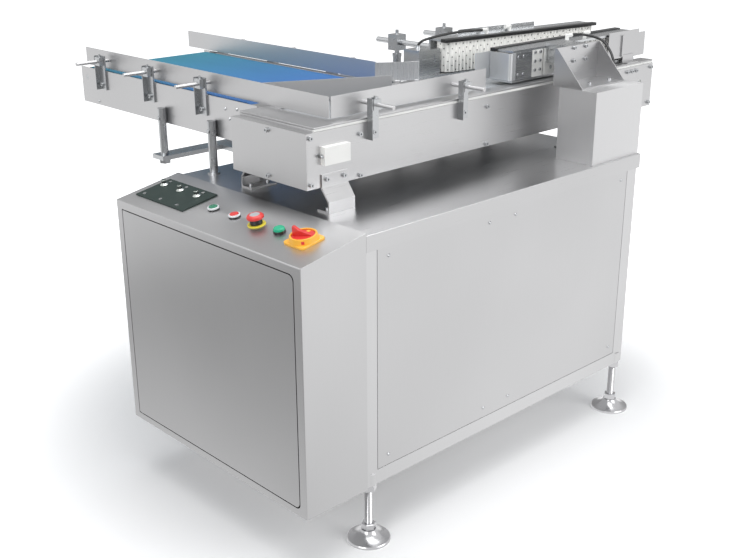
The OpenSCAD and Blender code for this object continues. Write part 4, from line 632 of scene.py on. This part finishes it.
# The grip is drawn up in steps: its two ends in shares of the dial's radius, and the height that it has
# reached as a share of the whole.
grip_thick, grip_high, grip_ease, grip_turn = 9.0, 21.2, 1.1, math.radians(119)
grip_steps = [(-0.85, 0.9, 0.0), (-0.5, 0.88, 0.25), (0.2, 0.86, 0.55), (0.62, 0.82, 1.0)]
bpy.ops.object.select_all(action="DESELECT")
first = grip_steps[0]
bpy.ops.mesh.primitive_plane_add(size=1, location=((first[0] + first[1]) / 2 * dial_radius / 1000, 0, 0),
                                 scale=(1, 1, 1))
grip = bpy.context.object
grip.scale = ((first[1] - first[0]) * dial_radius / 1000, grip_thick / 1000, 1)
grip = bare_mesh("switch_grip")
for (a0, a1, az), (b0, b1, bz) in zip(grip_steps, grip_steps[1:]):
    bpy.ops.mesh.extrude_region_move(TRANSFORM_OT_translate={"value": (
        ((b0 + b1) - (a0 + a1)) / 2 * dial_radius / 1000, 0, (bz - az) * grip_high / 1000)})
    bpy.ops.transform.resize(value=((b1 - b0) / (a1 - a0), 1, 1),
                             center_override=((b0 + b1) / 2 * dial_radius / 1000, 0, 0))
close_up(grip, red_plastic)
soften = grip.modifiers.new("soften", "BEVEL")
soften.width = grip_ease / 1000
soften.segments = 3
soften.limit_method = "ANGLE"
bpy.ops.object.modifier_apply(modifier="soften")
bpy.ops.object.shade_smooth_by_angle(angle=math.radians(35))
belongs(seat(grip, on_slope(control_row, switch_y, dial_up + 8.8, grip_turn)), "main_switch",
        slot="button_red")
lock_turn = math.radians(12)
lock = block("switch_lock_mark", (14, -4, 0), (22, 4, 1.6), yellow_plastic, 0.5)
belongs(seat(lock, on_slope(control_row, switch_y, dial_up + 8.9, lock_turn)), "main_switch",
        slot="switch_yellow")

# The speed plate: a dark green laminate with six screws, and three knobs turned from aluminium.
plate_low_x, plate_low_y, plate_thick = -142.3, 476.0, 3.0
laminate = moulded("dark_green_laminate", "#0a231e", 0.45, 0.0, 0.03)
speed_face = eased("speed_plate", laminate, 0.4)
# The screws' heads stand above the plate's own face and are chromed.
speed_face.data.materials.append(chrome)
plate_level = on_slope(plate_low_x, plate_low_y).inverted()
for face in speed_face.data.polygons:
    if (plate_level @ face.center).z * 1000 > plate_thick + 0.2:
        face.material_index = 1
knob_rings = [(3, -14), (3, 0.1), (10.5, 0.1), (10.5, 0.9), (9.9, 1.7), (7.6, 3.2), (6.2, 4.4), (5.7, 5.4),
              (5.5, 7), (5.5, 9.2), (5.5, 10.6), (6.0, 11.2), (6.0, 13.2), (5.4, 14)]
knob_metal = polished("knob_aluminium", "#c3c9c5", 0.25)
knob_row, knob_pitch, knob_middle = -71.3, 69.5, 586.0
for i in range(3):
    knob = turned("knob_%d" % (i + 1), knob_rings, knob_metal, 36)
    paint_faces(knob, black_plastic, lambda x, y, z: 5.4 < z < 9)
    paint_faces(knob, laminate, lambda x, y, z: z > 11 and x > 0 and abs(y) < 1)
    place = on_slope(knob_row, knob_middle + (i - 1) * knob_pitch, plate_thick + 0.3)
    belongs(seat(knob, place), "speed_knob_%d" % (i + 1), "speed_knob_%d" % (i + 1))

# The deck is a folded plate. The access panels are plain sheets, each held by small screws. The stand
# is a welded box on the deck that carries the front gripper through a gusset bracket.
# The stand is a lighter copy of the same steel: painted light.
deck_steel = ground_steel("ground_steel_deck", "#c2c2c3", grain_across, 0.3)
stand_steel = ground_steel("ground_steel_stand", "#cfcfd0", grain_up, 0.48)
zinc = polished("zinc_plated_steel", "#b9bbbd", 0.28)
# The deck's folded rim lies past these lines, in the frame's millimetres.
deck_level, deck_edges = 769.8, (-21.9, 1007.9, -21.9, 677.9)
eased("deck_plate", deck_steel, 1.2, folds=lambda a, b: min(a.z, b.z) > deck_level and (
    max(a.x, b.x) < deck_edges[0] or min(a.x, b.x) > deck_edges[1]
    or max(a.y, b.y) < deck_edges[2] or min(a.y, b.y) > deck_edges[3]))
eased("access_panels", panel_steel, 0.6)
eased("stand", stand_steel, 1.0)
eased("gusset_bracket", bracket_steel, 1.0)
dress(["door_pivots", "console_gear", "machine_screws"], zinc)

# Two long folded side sheets on bent legs, with end covers, a grey table-top chain on two sprocket
# shafts, and bearings in white plastic housings.
# Sides, end covers and top plates are lit and shaded copies of the same steel: painted light and shade.
side_steel = ground_steel("ground_steel_conveyor_sides", "#c2c2c3", grain_across, 0.3)
end_steel = ground_steel("ground_steel_end_cover", "#bfbfc0", grain_up, 0.32)
plate_steel = ground_steel("ground_steel_top_plates", "#b4b4b5", grain_across, 0.34)
acetal = moulded("grey_acetal", "#9b9fa3", 0.36, 0.1, 0.03)
white_plastic = moulded("white_plastic", "#ecece9", 0.36, 0.2)
motor_paint = moulded("grey_motor_enamel", "#8d9296", 0.42, 0.3, 0.12)
eased("conveyor_frame", side_steel)
eased("conveyor_end_covers", end_steel)
eased("conveyor_legs", bracket_steel)
eased("top_plates", plate_steel, 0.6)
eased("wear_strips", white_plastic, 0.6)
dress(["chain_drive_shaft", "chain_idler_shaft"], zinc)
dress(["chain_bearings"], white_plastic)
dress(["chain"], acetal)
dress(["gearmotors"], motor_paint)
# The left top plate's turned-down lip, and the head of the screw that tensions the chain.
lip_low, lip_high, tightener_place = (28, 202, 950), (34, 464, 960.9), (47, 190, 900)
lip = block("end_plate_lip", lip_low, lip_high, plate_steel, 0.5)
belongs(seat(lip, Matrix.Translation(metres(0, 0, 0))), "root", slot="satin_steel")
tightener = turned("takeup_screw", [(5.2, 0), (5.2, 2.6), (4.6, 3.4), (3.6, 3.4), (3.6, 8)], zinc, 6)
tightener_turn = Matrix.Rotation(-math.pi / 2, 4, "Y")
belongs(seat(tightener, Matrix.Translation(metres(*tightener_place)) @ tightener_turn), "root",
        slot="bright_steel")

# A blue belt on two rollers, in a folded frame on round posts. The belting has small pits in rows, darkened
# with painted shade, and its colour turns between two places along the frame's Y, in metres.
belt_start, belt_end = 0.62, 1.25


def woven_belt(name, colour, far_colour):
    """Coated conveyor belting: small pits in rows darkened with painted shade, greener towards its far end,
    faintly worn.
    """
    pits_per_metre, clouds_per_metre = 210.0, 9
    made, tree, out = blank_material(name)
    place = node(tree, "ShaderNodeTexCoord")
    rows = node(tree, "ShaderNodeTexVoronoi", {"Vector": place.outputs["Object"]}, Scale=pits_per_metre,
                Randomness=0.15)
    cloud = add_grain(tree, clouds_per_metre, (1, 0.25, 1), 3, 4)
    tone = spread(tree, cloud.outputs["Fac"], 0.92, 1.08)
    # Painted shade: each pit's middle is darker.
    painted_pit_shade = node(tree, "ShaderNodeMapRange", {"Value": rows.outputs["Distance"]},
                From_Min=0.0, From_Max=0.6, To_Min=0.82, To_Max=1.08)
    both = node(tree, "ShaderNodeMath", {0: tone.outputs[0], 1: painted_pit_shade.outputs[0]}, operation="MULTIPLY")
    axes = node(tree, "ShaderNodeSeparateXYZ", {0: place.outputs["Object"]})
    far = node(tree, "ShaderNodeMapRange", {"Value": axes.outputs["Y"]}, From_Min=belt_start,
               From_Max=belt_end, To_Min=0.0, To_Max=1.0)
    blend = node(tree, "ShaderNodeMix", {0: far.outputs[0]}, data_type="RGBA")
    blend.inputs[6].default_value = linear(colour)
    blend.inputs[7].default_value = linear(far_colour)
    paint = node(tree, "ShaderNodeVectorMath", {0: both.outputs[0], 1: blend.outputs[2]},
                 operation="MULTIPLY")
    bump = node(tree, "ShaderNodeBump", {"Height": rows.outputs["Distance"]}, Strength=0.35, Distance=0.0008)
    face = node(tree, "ShaderNodeBsdfPrincipled",
                {"Base Color": paint.outputs[0], "Normal": bump.outputs[0]}, Roughness=0.6, IOR=1.5)
    tree.links.new(face.outputs[0], out.inputs[0])
    return made


blue_belting = woven_belt("blue_belting", "#2a62a0", "#1c7286")
eased("infeed_frame", side_steel)
eased("infeed_posts", zinc, 0.6)
dress(["infeed_belt"], blue_belting)
dress(["infeed_drive_roller", "infeed_tail_roller"], zinc)

# Bright sheet guides stand over the belt and the chain. The near, front and far ones are held by round
# rods, which set screws clamp in folded brackets.
# The guides are lighter and darker copies of the same steel; the turning guide's near-white base colour is
# painted light.
guide_steel = ground_steel("ground_steel_guides", "#c8c8c9", grain_across, 0.42)
deflector_steel = ground_steel("ground_steel_deflector", "#dededf", grain_up, 0.28)
eased("near_guide", guide_steel, 0.6, body="near_guide")
eased("front_guide", guide_steel, 0.6, body="front_guide")
eased("far_guide", guide_steel, 0.6, body="far_guide")
eased("turning_guide", deflector_steel, 0.6)
eased("guide_brackets", zinc, 0.6)
eased("outfeed_guide", end_steel, 0.6)

# Two short belts that face each other and carry the bottles along: one on a slide behind the lane, one on
# the stand in front. Each is white rubber with upright lugs; rows of small black dots between them are
# painted shade in the recesses between the lugs.
# The guard's lighter anodised base colour is partly its own finish and partly painted light for its shaded
# face.
aluminium = ground_steel("milled_aluminium", "#c8cacc", grain_across, 0.26, 0.04)
anodised = ground_steel("anodised_aluminium", "#d2d4d6", grain_up, 0.38, 0.03)
white_rubber = moulded("white_rubber", "#f3f2ee", 0.55, 0.0, 0.2)
eased("rear_grip_frame", aluminium, 0.8, body="rear_unit")
eased("front_grip_frame", aluminium, 0.8)
eased("rear_top_bar", black_plastic, 1.2, body="rear_unit")
eased("front_top_bar", black_plastic, 1.2)
eased("front_guard", anodised, 1.0)
eased("front_blocks", white_plastic, 1.0)

# The white blocks are screwed on from the front: two columns of cap screws, and one of plain plugs.
block_face, screw_rows, screw_columns = 227.0, (993.0, 1017.0, 1040.0), (836.0, 858.0, 907.0)
cap_screw = [(4.6, 0), (4.6, 2.6), (4.0, 3.2), (2.2, 3.2), (2.0, 1.2)]
plug_rings = [(5.2, 0), (5.2, 0.5), (4.4, 0.9)]
face_on = Matrix.Rotation(math.pi / 2, 4, "X")
for column, x in enumerate(screw_columns):
    screwed = column < 2
    for row, z in enumerate(screw_rows):
        label = "block_fixing_%d_%d" % (column + 1, row + 1)
        if screwed:
            fixing = turned(label, cap_screw, zinc, 20)
            # The socket's inside is black: painted shade in the recess.
            paint_faces(fixing, black_plastic, lambda x, y, z: z < 3.1 and math.hypot(x, y) < 2.15)
        else:
            fixing = turned(label, plug_rings, grey_plastic, 20)
        belongs(seat(fixing, Matrix.Translation(metres(x, block_face, z)) @ face_on), "root",
                slot="bright_steel" if screwed else "grey_plastic")
dress(["rear_supports", "rear_drive_pulley", "rear_idler_pulley", "front_drive_pulley",
       "front_idler_pulley"], zinc)
dress(["rear_fittings"], white_plastic)

belt_thick, belt_bottom, lug_pitch, lug_out, lug_back = 8.0, 977.0, 13.0, 3.0, 4.65
lug_radius, lug_tip_radius, lug_gap, lug_taper, lug_flatness = 4.6, 4.2, 0.2, 1.2, 0.62
# Spacing of the black dots of painted shade between the lugs.
pin_pitch, pin_margin = 23.0, 4
# Each belt's unit: its name, its corner in X and Y, its turn, the loop's length and width, the belt's
# height, whether it is mirrored to face the other one, and its body.
units = (("rear", (702, 425), math.radians(-6.95), 590.0, 60.0, 80.0, False, "rear_unit"),
         ("front", (745, 300), 0.0, 565.0, 60.0, 68.0, True, "root"))


def loop_place(length, width, along):
    """A place on the belt's outer face, the way round it, and the direction square to it."""
    radius = width / 2
    straight = length - width
    along %= 2 * straight + 2 * math.pi * radius
    if along < straight:
        return (radius + along, 0.0), 0.0
    along -= straight
    if along < math.pi * radius:
        turn = along / radius
        return (length - radius + radius * math.sin(turn), radius - radius * math.cos(turn)), turn
    along -= math.pi * radius
    if along < straight:
        return (length - radius - along, width), math.pi
    turn = math.pi + (along - straight) / radius
    return (radius + radius * math.sin(turn), radius - radius * math.cos(turn)), turn


for label, start, swing, length, width, tall, mirrored, body in units:
    unit_place = Matrix.Translation(metres(start[0], start[1], 0)) @ Matrix.Rotation(swing, 4, "Z")
    if mirrored:
        unit_place = unit_place @ Matrix.Diagonal((1, -1, 1, 1))
    inner = width - 2 * lug_out
    # The belt's band: a flat loop of sheet, thickened inwards.
    bpy.ops.object.select_all(action="DESELECT")
    bpy.ops.mesh.primitive_circle_add(vertices=48, radius=inner / 2000, fill_type="NOTHING",
                                      location=(length / 2000, width / 2000, belt_bottom / 1000))
    band = bare_mesh(label + "_belt_band")
    drawn = bmesh.from_edit_mesh(band.data)
    for sign in (-1, 1):
        bpy.ops.mesh.select_all(action="DESELECT")
        bpy.context.tool_settings.mesh_select_mode = (True, False, False)
        for vert in drawn.verts:
            vert.select = (vert.co.x * 1000 - length / 2) * sign > 0.01
        drawn.select_flush_mode()
        bpy.ops.transform.translate(value=(sign * (length - width) / 2000, 0, 0))
    bpy.ops.mesh.select_all(action="SELECT")
    bpy.ops.mesh.extrude_region_move(TRANSFORM_OT_translate={"value": (0, 0, tall / 1000)})
    close_up(band, white_rubber, 30)
    thicken = band.modifiers.new("thicken", "SOLIDIFY")
    thicken.thickness = (belt_thick - lug_out) / 1000
    thicken.offset = -1
    bpy.ops.object.modifier_apply(modifier="thicken")
    belongs(seat(band, unit_place), body, label + "_grip_belt")

    # One lug with its black dots of painted shade, copied all the way round and joined into one belt of
    # lugs.
    belt_top = belt_bottom + tall
    lug = turned("lug", [(lug_tip_radius, belt_bottom + lug_gap), (lug_radius, belt_bottom + lug_taper),
                         (lug_radius, belt_top - lug_taper), (lug_tip_radius, belt_top - lug_gap)],
                 white_rubber, 8, 60)
    pin = turned("pin", [(1.7, 0), (1.7, 1.0), (1.1, 1.4)], black_plastic, 6)
    seat(pin, Matrix.Rotation(math.pi / 2, 4, "X"))
    seat(lug, Matrix.Diagonal((lug_flatness, 1, 1, 1)))
    way_round = 2 * (length - width) + math.pi * width
    count = round(way_round / lug_pitch)
    pitch = way_round / count
    lugs, pins = [], []
    for i in range(count):
        (u, v), angle = loop_place(length, width, i * pitch)
        away = Vector((math.sin(angle), -math.cos(angle), 0))
        here = Vector((u, v, 0)) - away * lug_back
        lugs.append(seat(twin(lug, "lug_copy"), Matrix.Translation(here / 1000)
                         @ Matrix.Rotation(angle, 4, "Z")))
        (u, v), angle = loop_place(length, width, (i + 0.5) * pitch)
        away = Vector((math.sin(angle), -math.cos(angle), 0))
        here = Vector((u, v, 0)) - away * (lug_out + 0.1)
        rise = pin_pitch / 4 + (pin_pitch / 2 if i % 2 else 0)
        while rise < tall - pin_margin:
            spot = Matrix.Translation((here + Vector((0, 0, belt_bottom + rise))) / 1000)
            pins.append(seat(twin(pin, "pin_copy"), spot @ Matrix.Rotation(angle, 4, "Z")))
            rise += pin_pitch
    for group, name in ((lugs, "_belt_lugs"), (pins, "_belt_pins")):
        bpy.ops.object.select_all(action="DESELECT")
        for each in group:
            each.select_set(True)
        bpy.context.view_layer.objects.active = group[0]
        bpy.ops.object.join()
        group[0].name = label + name
        belongs(seat(group[0], unit_place), body, label + "_grip_belt")
    for model in (lug, pin):
        bpy.data.objects.remove(model)
